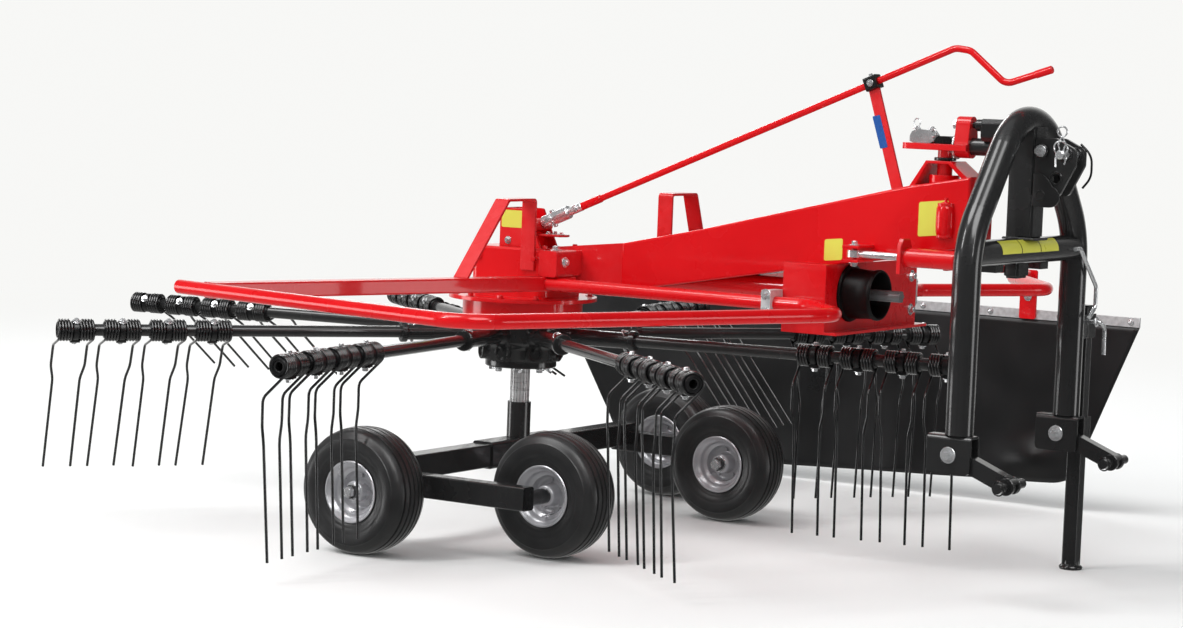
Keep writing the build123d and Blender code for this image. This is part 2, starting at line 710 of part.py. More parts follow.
# Racks that take the folded tine arms: bent flat strips beside the housing and the beam
RACKS = [
    # name, arm it stands on, set back from the arm, side, inner leg, foot out, rise
    ("rack_right", RIGHT_ARM, 5.0, -1, GEAR_HALF_W, 470.0, 232.0),
    ("rack_left", LEFT_ARM, 20.0, 1, BEAM_HALF_W, 330.0, 264.0),
]
for name, arm, set_back, side, inner, foot, rise in RACKS:
    top = GUARD_ARM_TOP + rise
    low = GUARD_ARM_TOP + RACK_FOOT_LIFT
    shelf_end = inner + RACK_SHELF
    with BuildPart() as rack:
        with BuildSketch(Plane.YZ.offset(arm_place(arm, foot) - set_back - RACK_W / 2)) as strip:
            with BuildLine():
                Polyline(
                    (side * inner, low),
                    (side * inner, top),
                    (side * shelf_end, top),
                    (side * foot, GUARD_ARM_TOP),
                    (side * (foot - RACK_T * RACK_FOOT_WIDEN), GUARD_ARM_TOP),
                    (side * (shelf_end - RACK_T / 2), top - RACK_T),
                    (side * (inner + RACK_T), top - RACK_T),
                    (side * (inner + RACK_T), low),
                    close=True,
                )
            make_face()
            fillet(strip.vertices().group_by(Axis.Y)[-1], RACK_BEND_R)
            fillet(
                strip.vertices().filter_by(lambda corner: abs(corner.Y - top + RACK_T) < RUN_GAP),
                RACK_BEND_R - RACK_T,
            )
        extrude(strip.sketch, amount=RACK_W)
    write(rack.part, name)

# Crank: bracket on the gear housing, joint, bent handle, strut and clip
CRANK_FOOT = (ahead(CRANK_FOOT_AHEAD), GEAR_TOP + CRANK_FOOT_LIFT)
CRANK_KNEE = (ahead(SWIVEL_AHEAD + CRANK_KNEE_FORWARD), NOSE_TOP + CRANK_KNEE_LIFT)
CRANK_RUN = (CRANK_KNEE[0] - CRANK_FOOT[0], CRANK_KNEE[1] - CRANK_FOOT[1])
CRANK_SLOPE = atan2(CRANK_RUN[1], CRANK_RUN[0])
JOINT_START = (
    CRANK_FOOT[0] - CRANK_JOINT_LENGTH * cos(CRANK_SLOPE),
    CRANK_FOOT[1] - CRANK_JOINT_LENGTH * sin(CRANK_SLOPE),
)
with BuildPart() as crank_joint:
    straight_rod((JOINT_START[0], 0, JOINT_START[1]), (CRANK_FOOT[0], 0, CRANK_FOOT[1]), CRANK_JOINT_R)
write(crank_joint.part, "crank_joint")

BRACKET_CEILING = GEAR_TOP + CRANK_BRACKET_H
with BuildPart() as crank_bracket:
    with BuildSketch(Plane.XZ) as cheek:
        with BuildLine():
            Polyline(
                (ahead(-CRANK_BRACKET_BACK), GEAR_TOP),
                (ahead(CRANK_BRACKET_FOOT), GEAR_TOP),
                (ahead(CRANK_BRACKET_TOP), BRACKET_CEILING),
                (ahead(-CRANK_BRACKET_BACK), BRACKET_CEILING),
                close=True,
            )
        make_face()
        fillet(cheek.vertices().group_by(Axis.Y)[-1], PLATE_ROUND)
    extrude(cheek.sketch, amount=CRANK_BRACKET_W / 2, both=True)
    box_between(
        (ahead(-CRANK_BRACKET_BACK) + CRANK_BRACKET_T, ahead(CRANK_BRACKET_FOOT)),
        (-CRANK_BRACKET_W / 2 + CRANK_BRACKET_T, CRANK_BRACKET_W / 2 - CRANK_BRACKET_T),
        (GEAR_TOP, BRACKET_CEILING),
        mode=Mode.SUBTRACT,
    )
    straight_rod(
        (JOINT_START[0], -CRANK_BRACKET_W / 2, JOINT_START[1]),
        (JOINT_START[0], CRANK_BRACKET_W / 2, JOINT_START[1]),
        TRUNNION_R,
    )
    add(crank_joint.part, mode=Mode.SUBTRACT)
write(crank_bracket.part, "crank_bracket")

CRANK_ROUTE = [
    (CRANK_FOOT[0], 0, CRANK_FOOT[1]),
    (CRANK_KNEE[0], 0, CRANK_KNEE[1]),
    (CRANK_KNEE[0] + CRANK_CROWN[0], 0, CRANK_KNEE[1] + CRANK_CROWN[1]),
    (CRANK_KNEE[0] + CRANK_DIP[0], 0, CRANK_KNEE[1] + CRANK_DIP[1]),
    (CRANK_KNEE[0] + CRANK_GRIP[0], 0, CRANK_KNEE[1] + CRANK_GRIP[1]),
]
with BuildPart() as crank_handle:
    bent_tube(CRANK_ROUTE, CRANK_R, CRANK_BENDS)
write(crank_handle.part, "crank_handle")

CLIP_PLACE = (CRANK_FOOT[0] + CLIP_SHARE * CRANK_RUN[0], 0, CRANK_FOOT[1] + CLIP_SHARE * CRANK_RUN[1])
STRUT_X = ahead(BROW_AHEAD - STRUT_SETBACK)
STRUT_FALL = (BROW_TOP - SLOPE_TOP) / (BROW_AHEAD - BEAM_SLOPE_AHEAD)
STRUT_FOOT_Z = BROW_TOP - STRUT_SETBACK * STRUT_FALL
with BuildPart() as crank_clip:
    with BuildSketch(Plane(origin=CLIP_PLACE, z_dir=(cos(CRANK_SLOPE), 0, sin(CRANK_SLOPE)))):
        RectangleRounded(CLIP_SIZE, CLIP_SIZE, TUBE_EDGE)
        Circle(CRANK_R, mode=Mode.SUBTRACT)
    extrude(amount=CLIP_SIZE / 2, both=True)
write(crank_clip.part, "crank_clip")

with BuildPart() as crank_strut:
    with BuildSketch(Plane.XZ):
        with BuildLine():
            Polyline(
                (STRUT_X - STRUT_W / 2, STRUT_FOOT_Z),
                (STRUT_X + STRUT_W / 2, STRUT_FOOT_Z),
                (CLIP_PLACE[0] + STRUT_W / 2, CLIP_PLACE[2]),
                (CLIP_PLACE[0] - STRUT_W / 2, CLIP_PLACE[2]),
                close=True,
            )
        make_face()
    extrude(amount=STRUT_T / 2, both=True)
    add(crank_clip.part, mode=Mode.SUBTRACT)
    add(crank_handle.part, mode=Mode.SUBTRACT)
    add(main_beam.part, mode=Mode.SUBTRACT)
write(crank_strut.part, "crank_strut")

# Column, splined shaft and chassis
AXLE_SLEEVE_TOP = AXLE_TOP + AXLE_SLEEVE_WALL
SLEEVE_TOP = AXLE_SLEEVE_TOP + SLEEVE_H
with BuildPart() as column_sleeve:
    straight_rod((ROTOR_X, 0, AXLE_SLEEVE_TOP), (ROTOR_X, 0, SLEEVE_TOP), SLEEVE_R)
write(column_sleeve.part, "column_sleeve")

with BuildPart() as splined_shaft:
    with BuildSketch(Plane.XY.offset(SLEEVE_TOP)):
        with Locations((ROTOR_X, 0)):
            Circle(SHAFT_R)
            with PolarLocations(SHAFT_R, SPLINES):
                Rectangle(2 * SPLINE_DEPTH, SPLINE_W, mode=Mode.SUBTRACT)
    extrude(amount=CAM_BOTTOM - SLEEVE_TOP)
write(splined_shaft.part, "splined_shaft")

ARM_INNER_Y = WHEEL_ARM_Y - WHEEL_ARM_W / 2
ARM_OUTER_Y = WHEEL_ARM_Y + WHEEL_ARM_W / 2
with BuildPart() as axle_beam:
    cross_tube(
        (ROTOR_X - AXLE_W / 2, ROTOR_X + AXLE_W / 2),
        (-ARM_INNER_Y, ARM_INNER_Y),
        (AXLE_BOTTOM, AXLE_TOP),
        TUBE_EDGE,
    )
    cross_tube(
        (ROTOR_X - AXLE_W / 2 - AXLE_SLEEVE_WALL, ROTOR_X + AXLE_W / 2 + AXLE_SLEEVE_WALL),
        (-AXLE_SLEEVE_HALF, AXLE_SLEEVE_HALF),
        (AXLE_BOTTOM - AXLE_SLEEVE_WALL, AXLE_SLEEVE_TOP),
        TUBE_EDGE + AXLE_SLEEVE_WALL,
    )
write(axle_beam.part, "axle_beam")

# Wheels: name, place ahead, distance from the middle, side of the wheel arm it stands on
WHEELS = [
    ("rear", REAR_WHEEL_AHEAD, REAR_WHEEL_Y, 1),
    ("front", FRONT_WHEEL_AHEAD, FRONT_WHEEL_Y, -1),
]
WHEEL_ARM_Z = AXLE_Z + WHEEL_ARM_LIFT
FLANGE_R = BEAD_R + FLANGE_H
for side_name, side in SIDES:
    with BuildPart() as wheel_arm:
        box_between(
            (ROTOR_X - WHEEL_ARM_OVERHANG - AXLE_W / 2, ahead(FRONT_WHEEL_AHEAD) + WHEEL_ARM_OVERHANG),
            sorted((side * ARM_INNER_Y, side * ARM_OUTER_Y)),
            (WHEEL_ARM_Z - WHEEL_ARM_H / 2, WHEEL_ARM_Z + WHEEL_ARM_H / 2),
        )
        fillet(wheel_arm.edges().filter_by(Axis.X), TUBE_EDGE)
        for wheel_name, place, wheel_y, out in WHEELS:
            arm_face = ARM_OUTER_Y if out > 0 else ARM_INNER_Y
            hub_near = wheel_y - out * WHEEL_HUB_W / 2
            hub_far = wheel_y + out * WHEEL_HUB_W / 2
            spots = [
                # from, to, radius
                (arm_face, hub_near - out * RUN_GAP, SPACER_R),
                (arm_face, hub_far + out * (RUN_GAP + NUT_T), STUB_R),
                (hub_far + out * RUN_GAP, hub_far + out * (RUN_GAP + NUT_T), NUT_R),
            ]
            for start, end, radius in spots:
                straight_rod(
                    (ahead(place), side * start, AXLE_Z), (ahead(place), side * end, AXLE_Z), radius
                )
    write(wheel_arm.part, f"wheel_arm_{side_name}")

    for wheel_name, place, wheel_y, out in WHEELS:
        centre = (ahead(place), side * wheel_y, AXLE_Z)
        section = Plane(origin=centre, x_dir=(0, 1, 0), z_dir=(1, 0, 0))
        spin = Axis(origin=centre, direction=(0, 1, 0))
        shoulder = (TREAD_W / 2, TYRE_R - SHOULDER_DROP)
        with BuildPart() as tyre:
            with BuildSketch(section):
                with BuildLine():
                    Line((-BEAD_W / 2, BEAD_R), (BEAD_W / 2, BEAD_R))
                    ThreePointArc((BEAD_W / 2, BEAD_R), (TYRE_W / 2, BULGE_R), shoulder)
                    ThreePointArc(shoulder, (0, TYRE_R), (-shoulder[0], shoulder[1]))
                    ThreePointArc((-shoulder[0], shoulder[1]), (-TYRE_W / 2, BULGE_R), (-BEAD_W / 2, BEAD_R))
                make_face()
            revolve(axis=spin)
        write(tyre.part, f"tyre_{wheel_name}_{side_name}")

        with BuildPart() as rim:
            with BuildSketch(section):
                with BuildLine():
                    Polyline(
                        (-BEAD_W / 2 - FLANGE_T, FLANGE_R),
                        (-BEAD_W / 2, FLANGE_R),
                        (-BEAD_W / 2, BEAD_R),
                        (BEAD_W / 2, BEAD_R),
                        (BEAD_W / 2, FLANGE_R),
                        (BEAD_W / 2 + FLANGE_T, FLANGE_R),
                        (BEAD_W / 2 + FLANGE_T, BEAD_R),
                        (DISC_T / 2, RIM_WELL_R - DISC_T),
                        (DISC_T / 2, WHEEL_HUB_R),
                        (WHEEL_HUB_W / 2, WHEEL_HUB_R),
                        (WHEEL_HUB_W / 2, STUB_R + RUN_GAP),
                        (-WHEEL_HUB_W / 2, STUB_R + RUN_GAP),
                        (-WHEEL_HUB_W / 2, WHEEL_HUB_R),
                        (-DISC_T / 2, WHEEL_HUB_R),
                        (-DISC_T / 2, RIM_WELL_R - DISC_T),
                        (-BEAD_W / 2 - FLANGE_T, BEAD_R),
                        close=True,
                    )
                make_face()
            revolve(axis=spin)
            add(tyre.part, mode=Mode.SUBTRACT)
        write(rim.part, f"rim_{wheel_name}_{side_name}")

# Rotor: hub with a socket for each arm, the arm tubes, and the carriers with their tines
with BuildPart() as rotor_hub:
    straight_rod((ROTOR_X, 0, HUB_BOTTOM), (ROTOR_X, 0, HUB_BOTTOM + HUB_PLATE_T), HUB_PLATE_R)
    straight_rod((ROTOR_X, 0, HUB_BOTTOM + HUB_PLATE_T), (ROTOR_X, 0, HUB_TOP), HUB_R)
    chamfer(rotor_hub.faces().sort_by(Axis.Z)[-1].edges(), HUB_EDGE)
    for number in range(ARM_COUNT):
        turn = radians(ARM_PHASE + number * 360 / ARM_COUNT)
        out = Vector(cos(turn), sin(turn), 0)
        base = Vector(ROTOR_X, 0, ROTOR_Z)
        straight_rod(tuple(base + out * (HUB_R / 2)), tuple(base + out * SOCKET_REACH), SOCKET_R)
        straight_rod(
            tuple(base + out * (SOCKET_REACH - COLLAR_LENGTH)), tuple(base + out * SOCKET_REACH), COLLAR_R
        )
    straight_rod(
        (ROTOR_X, 0, HUB_BOTTOM), (ROTOR_X, 0, HUB_TOP), SHAFT_R + RUN_GAP, mode=Mode.SUBTRACT
    )
write(rotor_hub.part, "rotor_hub")

with BuildPart() as arm_tubes:
    for number in range(ARM_COUNT):
        turn = radians(ARM_PHASE + number * 360 / ARM_COUNT)
        out = Vector(cos(turn), sin(turn), 0)
        base = Vector(ROTOR_X, 0, ROTOR_Z)
        straight_rod(tuple(base + out * SOCKET_REACH), tuple(base + out * CARRIER_START), ARM_TUBE_R)
write(arm_tubes.part, "arm_tubes")

# One carrier along +X with its tines trailing to -Y, then a copy on each arm.
# Each leg leaves the front of its coil's outer end, slants back below the tube, drops, steps
# towards its twin and then hangs with a slight lean.
with BuildPart() as carrier:
    straight_rod((CARRIER_START, 0, 0), (ARM_REACH, 0, 0), ARM_TUBE_R)
    slant = radians(LEG_SLANT_DEG)
    lean = radians(LEG_LEAN_DEG)
    leave = Vector(0, cos(slant), -sin(slant)) * (COIL_R - WIRE_R)
    knee = leave + Vector(0, -sin(slant), -cos(slant)) * LEG_SLANT
    step = knee + Vector(0, 0, -LEG_UPPER)
    for pair in range(TINE_PAIRS):
        middle = ARM_REACH - COIL_SPREAD / 2 - COIL_WIDTH / 2 - pair * PAIR_PITCH
        for hand in (-1, 1):
            coil = middle + hand * COIL_SPREAD / 2
            straight_rod((coil - COIL_WIDTH / 2, 0, 0), (coil + COIL_WIDTH / 2, 0, 0), COIL_R)
            end = Vector(coil + hand * (COIL_WIDTH / 2 - WIRE_R), 0, 0)
            foot = step + Vector(-hand * LEG_SIDESTEP, 0, -LEG_CROSS)
            tip = foot + Vector(0, sin(lean), -cos(lean)) * LEG_LOWER
            with BuildLine() as leg:
                Polyline(*[tuple(end + point) for point in (leave, knee, step, foot, tip)])
            with BuildSketch(Plane(origin=leg.line @ 0, z_dir=leg.line % 0)):
                RegularPolygon(WIRE_R, WIRE_SIDES)
            sweep(path=leg.line, transition=Transition.RIGHT)

with BuildPart() as tine_carriers:
    for number, roll in enumerate(ARM_ROLLS):
        turn = ARM_PHASE + number * 360 / ARM_COUNT
        with Locations(Pos(ROTOR_X, 0, ROTOR_Z) * Rot(0, 0, turn) * Rot(-roll, 0, 0)):
            add(carrier.part)
write(tine_carriers.part, "tine_carriers")

# Headstock: bent tube arch, crossbar, centre post and the swivel behind it
with BuildPart() as headstock_loop:
    bent_tube(
        [
            (HEAD_X, -LEG_Y, LEG_BOTTOM),
            (HEAD_X, -LEG_Y, SHOULDER_Z),
            (HEAD_X, 0, APEX_Z),
            (HEAD_X, LEG_Y, SHOULDER_Z),
            (HEAD_X, LEG_Y, LEG_BOTTOM),
        ],
        HEAD_TUBE_R,
        [SHOULDER_BEND, APEX_BEND, SHOULDER_BEND],
    )
write(headstock_loop.part, "headstock_loop")

with BuildPart() as crossbar:
    straight_rod((HEAD_X, -LEG_Y, CROSSBAR_Z), (HEAD_X, LEG_Y, CROSSBAR_Z), CROSSBAR_R)
    add(headstock_loop.part, mode=Mode.SUBTRACT)
write(crossbar.part, "crossbar")

POST_FRONT = HEAD_X + POST_W / 2
POST_BACK = HEAD_X - POST_W / 2
with BuildPart() as centre_post:
    upright_tube((HEAD_X, 0), POST_W, POST_W, (YOKE_LOW_TOP - POST_BELOW, CROWN_Z - POST_SINK), POST_EDGE_R)
    add(headstock_loop.part, mode=Mode.SUBTRACT)
    add(crossbar.part, mode=Mode.SUBTRACT)
write(centre_post.part, "centre_post")

with BuildPart() as swivel_pin:
    straight_rod((SWIVEL_X, 0, YOKE_LOW_TOP), (SWIVEL_X, 0, YOKE_HIGH_BOTTOM), SWIVEL_PIN_R)
write(swivel_pin.part, "swivel_pin")

# Swivel yoke: a lever plate on the pin and a knuckle in front that holds the two rods
KNUCKLE_X = SWIVEL_X + KNUCKLE_AHEAD
RODS = [
    # level, rod radius, knuckle radius
    (YOKE_HIGH_BOTTOM + LOW_ROD_LIFT, LOW_ROD_R, KNUCKLE_LOW_R),
    (CROWN_Z - HIGH_ROD_DROP, HIGH_ROD_R, KNUCKLE_HIGH_R),
]
with BuildPart() as swivel_yoke:
    with BuildSketch(Plane.XY.offset(YOKE_HIGH_BOTTOM)) as lever:
        with BuildLine():
            Polyline(
                (SWIVEL_X - LEVER_BACK, -LEVER_HALF_W),
                (SWIVEL_X, -YOKE_HALF_W),
                (KNUCKLE_X, -YOKE_HALF_W),
                (KNUCKLE_X, YOKE_HALF_W),
                (SWIVEL_X, YOKE_HALF_W),
                (SWIVEL_X - LEVER_BACK, LEVER_HALF_W),
                close=True,
            )
        make_face()
        fillet(lever.vertices().group_by(Axis.X)[0], LEVER_ROUND)
    extrude(lever.sketch, amount=YOKE_T)
    with BuildSketch(Plane.YZ.offset(KNUCKLE_X - KNUCKLE_T)) as knuckle:
        for level, rod_r, lobe_r in RODS:
            with Locations((0, level)):
                Circle(lobe_r)
        with BuildLine():
            Polyline(
                (-RODS[0][2], RODS[0][0]),
                (RODS[0][2], RODS[0][0]),
                (RODS[1][2], RODS[1][0]),
                (-RODS[1][2], RODS[1][0]),
                close=True,
            )
        make_face()
    extrude(knuckle.sketch, amount=KNUCKLE_T)
write(swivel_yoke.part, "swivel_yoke")

with BuildPart() as swivel_rods:
    for level, rod_r, lobe_r in RODS:
        straight_rod((KNUCKLE_X, 0, level), (HEAD_X, 0, level), rod_r)
    add(headstock_loop.part, mode=Mode.SUBTRACT)
    add(centre_post.part, mode=Mode.SUBTRACT)
write(swivel_rods.part, "swivel_rods")

with BuildPart() as lower_yoke:
    box_between(
        (SWIVEL_X - YOKE_HALF_W, POST_BACK),
        (-YOKE_HALF_W, YOKE_HALF_W),
        (YOKE_LOW_TOP - YOKE_T, YOKE_LOW_TOP),
    )
    fillet(lower_yoke.edges().filter_by(Axis.Z).group_by(Axis.X)[0], LEVER_ROUND)
write(lower_yoke.part, "lower_yoke")

# Top link ears on the post, with a pin in the upper hole
EAR_PIN_X = HEAD_X + EAR_PIN_AHEAD
EAR_PIN_Z = CROWN_Z - EAR_PIN_DROP
with BuildPart() as top_link_ears:
    for side in (-1, 1):
        with BuildSketch(Plane.XZ.offset(-side * EAR_Y - EAR_T / 2)) as ear:
            with BuildLine():
                Polyline(
                    (POST_FRONT, EAR_PIN_Z - EAR_FOOT_DROP),
                    (POST_FRONT, EAR_PIN_Z + EAR_BROW),
                    (EAR_PIN_X - EAR_EDGE, EAR_PIN_Z + EAR_BROW),
                    (EAR_PIN_X + EAR_EDGE, EAR_PIN_Z + EAR_EDGE / 2),
                    (EAR_PIN_X + EAR_EDGE, EAR_PIN_Z - EAR_EDGE),
                    (EAR_PIN_X - EAR_EDGE / 2, EAR_PIN_Z - EAR_FOOT_DROP),
                    close=True,
                )
            make_face()
            fillet(ear.vertices().filter_by(lambda corner: corner.X > POST_FRONT + RUN_GAP), EAR_ROUND)
            with Locations((EAR_PIN_X, EAR_PIN_Z)):
                Circle(EAR_PIN_R, mode=Mode.SUBTRACT)
            with Locations((EAR_PIN_X - EAR_HOLE_BACK, EAR_PIN_Z - EAR_HOLE_DROP)):
                Circle(EAR_PIN_R, mode=Mode.SUBTRACT)
        extrude(ear.sketch, amount=EAR_T)
write(top_link_ears.part, "top_link_ears")

with BuildPart() as top_link_pin:
    straight_rod(
        (EAR_PIN_X, -TOP_PIN_LENGTH / 2, EAR_PIN_Z), (EAR_PIN_X, TOP_PIN_LENGTH / 2, EAR_PIN_Z), EAR_PIN_R
    )
write(top_link_pin.part, "top_link_pin")

# Hitch brackets at the feet of the legs: straps folded to a channel, each with its pivot bolt
PIVOT_X = HEAD_X - PIVOT_BACK
PIVOT_Z = LEG_BOTTOM - PIVOT_DROP
BRACKET_X = (HEAD_X - BRACKET_BACK, HEAD_X - BRACKET_BACK + BRACKET_L)
BRACKET_BOTTOM = LEG_BOTTOM - BRACKET_H
with BuildPart() as hitch_brackets:
    for side in (-1, 1):
        inner_y = side * LEG_Y - BRACKET_W / 2
        outer_y = side * LEG_Y + BRACKET_W / 2
        with BuildPart() as strap:
            box_between(BRACKET_X, (inner_y, outer_y), (BRACKET_BOTTOM, LEG_BOTTOM))
            fillet(strap.edges().filter_by(Axis.X).group_by(Axis.Z)[-1], BRACKET_R)
            fillet(strap.edges().filter_by(Axis.Y).group_by(Axis.Z)[0], BRACKET_R)
            box_between(
                BRACKET_X,
                (inner_y + BRACKET_T, outer_y - BRACKET_T),
                (BRACKET_BOTTOM, LEG_BOTTOM - BRACKET_T),
                mode=Mode.SUBTRACT,
            )
            straight_rod(
                (PIVOT_X, inner_y - BRACKET_T, PIVOT_Z), (PIVOT_X, outer_y + BRACKET_T, PIVOT_Z), PIVOT_R
            )
write(hitch_brackets.part, "hitch_brackets")

# Swinging lower links: channels with rounded ends and a cross pin at the front
LINK_W = BRACKET_W - 2 * BRACKET_T - 2 * LINK_SIDE_GAP
DROP = radians(LINK_DROP_DEG)
LINK_PIN_X = PIVOT_X + LINK_LENGTH * cos(DROP)
LINK_PIN_Z = PIVOT_Z - LINK_LENGTH * sin(DROP)
for side_name, side in SIDES:
    link_plane = Plane(
        origin=(PIVOT_X, side * LEG_Y, PIVOT_Z), x_dir=(cos(DROP), 0, -sin(DROP)), z_dir=(0, -1, 0)
    )
    with BuildPart() as link:
        with BuildSketch(link_plane):
            with Locations((LINK_LENGTH / 2, 0)):
                SlotCenterToCenter(LINK_LENGTH, LINK_H)
            Circle(PIVOT_R + RUN_GAP, mode=Mode.SUBTRACT)
        extrude(amount=LINK_W / 2, both=True)
        with BuildSketch(link_plane):
            with Locations((LINK_SOLID + LINK_LENGTH / 2, -LINK_WALL)):
                Rectangle(LINK_LENGTH, LINK_H)
        extrude(amount=LINK_W / 2 - LINK_WALL, both=True, mode=Mode.SUBTRACT)
        straight_rod(
            (LINK_PIN_X, side * LEG_Y - LINK_PIN_LENGTH / 2, LINK_PIN_Z),
            (LINK_PIN_X, side * LEG_Y + LINK_PIN_LENGTH / 2, LINK_PIN_Z),
            LINK_PIN_R,
        )
    write(link.part, f"lower_link_{side_name}")

# Hook that holds the drive shaft when it is unhitched
HOOK_ROOT_X = HEAD_X + CROSSBAR_R + HOOK_R + RUN_GAP
HOOK_HANG_X = HOOK_ROOT_X + HOOK_FORWARD
HOOK_LOW_Z = CROSSBAR_Z - HOOK_FALL - HOOK_TAIL
with BuildPart() as shaft_hook:
    bent_tube(
        [
            (HOOK_ROOT_X, HOOK_INNER_Y, CROSSBAR_Z),
            (HOOK_ROOT_X, HOOK_INNER_Y + HOOK_STRAIGHT, CROSSBAR_Z),
            (HOOK_HANG_X, HOOK_INNER_Y + HOOK_OUT, CROSSBAR_Z - HOOK_FALL),
            (HOOK_HANG_X, HOOK_INNER_Y + HOOK_OUT, HOOK_LOW_Z),
            (HOOK_HANG_X, HOOK_INNER_Y + HOOK_OUT - HOOK_TURN, HOOK_LOW_Z - HOOK_RISE),
        ],
        HOOK_R,
        HOOK_BENDS,
    )
write(shaft_hook.part, "shaft_hook")

# Parking stand in two guides on the left leg
STAND_Y = LEG_Y + STAND_OUT
HIGH_GUIDE = LEG_BOTTOM + HIGH_GUIDE_LIFT
LOW_GUIDE_TOP = LEG_BOTTOM - LOW_GUIDE_DROP
STAND_TOP = HIGH_GUIDE + HIGH_GUIDE_H + STAND_ABOVE
STAND_GUIDES = [
    # low, high, inner end of the plate that ties it to the headstock
    (HIGH_GUIDE, HIGH_GUIDE + HIGH_GUIDE_H, LEG_Y),
    (LOW_GUIDE_TOP - LOW_GUIDE_H, LOW_GUIDE_TOP, LEG_Y + BRACKET_W / 2),
]
GUIDE_HALF = STAND_W / 2 + RUN_GAP + STAND_GUIDE_WALL
with BuildPart() as stand_guides:
    for low, high, root in STAND_GUIDES:
        box_between((HEAD_X - GUIDE_HALF, HEAD_X + GUIDE_HALF), (root, STAND_Y + GUIDE_HALF), (low, high))
        box_between(
            (HEAD_X - STAND_W / 2 - RUN_GAP, HEAD_X + STAND_W / 2 + RUN_GAP),
            (STAND_Y - STAND_W / 2 - RUN_GAP, STAND_Y + STAND_W / 2 + RUN_GAP),
            (low, high),
            mode=Mode.SUBTRACT,
        )
    add(headstock_loop.part, mode=Mode.SUBTRACT)
    add(hitch_brackets.part, mode=Mode.SUBTRACT)
write(stand_guides.part, "stand_guides")

with BuildPart() as parking_stand:
    upright_tube((HEAD_X, STAND_Y), STAND_W, STAND_W, (STAND_FOOT_T, STAND_TOP), STAND_EDGE)
    straight_rod((HEAD_X, STAND_Y, 0), (HEAD_X, STAND_Y, STAND_FOOT_T), STAND_FOOT_R)
write(parking_stand.part, "parking_stand")

# Dampers: a rod pinned to the beam and a tube pinned to the crossbar, on each side
LUG_OUT = DAMPER_EYE_R + DAMPER_LUG_MARGIN
EYE_HALF = DAMPER_EYE_H / 2
LUG_HALF = EYE_HALF + DAMPER_LUG_GAP
with BuildPart() as damper_rear_lugs:
    for side in (-1, 1):
        for level in (-1, 1):
            box_between(
                (DAMPER_REAR_X - LUG_OUT, DAMPER_REAR_X + LUG_OUT),
                sorted((side * BEAM_HALF_W, side * (DAMPER_Y + LUG_OUT))),
                sorted((DAMPER_Z + level * LUG_HALF, DAMPER_Z + level * (LUG_HALF + DAMPER_LUG_T))),
            )
        straight_rod(
            (DAMPER_REAR_X, side * DAMPER_Y, DAMPER_Z - LUG_HALF),
            (DAMPER_REAR_X, side * DAMPER_Y, DAMPER_Z + LUG_HALF),
            DAMPER_PIN_R,
        )
    add(main_beam.part, mode=Mode.SUBTRACT)
write(damper_rear_lugs.part, "damper_rear_lugs")

with BuildPart() as damper_front_lugs:
    for side in (-1, 1):
        for level in (-1, 1):
            box_between(
                (DAMPER_FRONT_X - LUG_OUT, HEAD_X),
                (side * DAMPER_Y - LUG_OUT, side * DAMPER_Y + LUG_OUT),
                sorted((DAMPER_Z + level * LUG_HALF, DAMPER_Z + level * (LUG_HALF + DAMPER_LUG_T))),
            )
        box_between(
            (HEAD_X - CROSSBAR_R - DAMPER_LUG_T, HEAD_X),
            (side * DAMPER_Y - LUG_OUT, side * DAMPER_Y + LUG_OUT),
            (DAMPER_Z - LUG_HALF, DAMPER_Z + LUG_HALF),
        )
        straight_rod(
            (DAMPER_FRONT_X, side * DAMPER_Y, DAMPER_Z - LUG_HALF),
            (DAMPER_FRONT_X, side * DAMPER_Y, DAMPER_Z + LUG_HALF),
            DAMPER_PIN_R,
        )
    add(crossbar.part, mode=Mode.SUBTRACT)
write(damper_front_lugs.part, "damper_front_lugs")

ROD_END_X = DAMPER_REAR_X + DAMPER_SPAN - DAMPER_ROD_SHORT
TUBE_START_X = DAMPER_REAR_X + DAMPER_TUBE_START
TUBE_END_X = DAMPER_FRONT_X - DAMPER_NECK
for side_name, side in SIDES:
    strut_y = side * DAMPER_Y
    with BuildPart() as rod:
        straight_rod((DAMPER_REAR_X, strut_y, DAMPER_Z), (ROD_END_X, strut_y, DAMPER_Z), DAMPER_ROD_R)
        with BuildSketch(Plane.XY.offset(DAMPER_Z)):
            with Locations((DAMPER_REAR_X, strut_y)):
                Circle(DAMPER_EYE_R)
        extrude(amount=EYE_HALF, both=True)
        with BuildSketch(Plane.XY.offset(DAMPER_Z)):
            with Locations((DAMPER_REAR_X, strut_y)):
                Circle(DAMPER_PIN_R + RUN_GAP)
        extrude(amount=EYE_HALF, both=True, mode=Mode.SUBTRACT)
    write(rod.part, f"damper_rod_{side_name}")

    with BuildPart() as tube:
        straight_rod((TUBE_START_X, strut_y, DAMPER_Z), (TUBE_END_X, strut_y, DAMPER_Z), DAMPER_TUBE_R)
        straight_rod(
            (TUBE_START_X, strut_y, DAMPER_Z),
            (TUBE_START_X + DAMPER_COLLAR_L, strut_y, DAMPER_Z),
            DAMPER_COLLAR_R,
        )
        with BuildSketch(Plane.XY.offset(DAMPER_Z)):
            with Locations((DAMPER_FRONT_X, strut_y)):
                Circle(DAMPER_EYE_R)
            with Locations((DAMPER_FRONT_X - DAMPER_NECK / 2 - DAMPER_ROD_R, strut_y)):
                Rectangle(DAMPER_NECK, 2 * DAMPER_ROD_R)
            with Locations((DAMPER_FRONT_X, strut_y)):
                Circle(DAMPER_PIN_R + DAMPER_EYE_PLAY, mode=Mode.SUBTRACT)
        extrude(amount=EYE_HALF, both=True)
        straight_rod(
            (TUBE_START_X, strut_y, DAMPER_Z),
            (ROD_END_X + DAMPER_STROKE, strut_y, DAMPER_Z),
            DAMPER_ROD_R + RUN_GAP,
            mode=Mode.SUBTRACT,
        )
    write(tube.part, f"damper_tube_{side_name}")
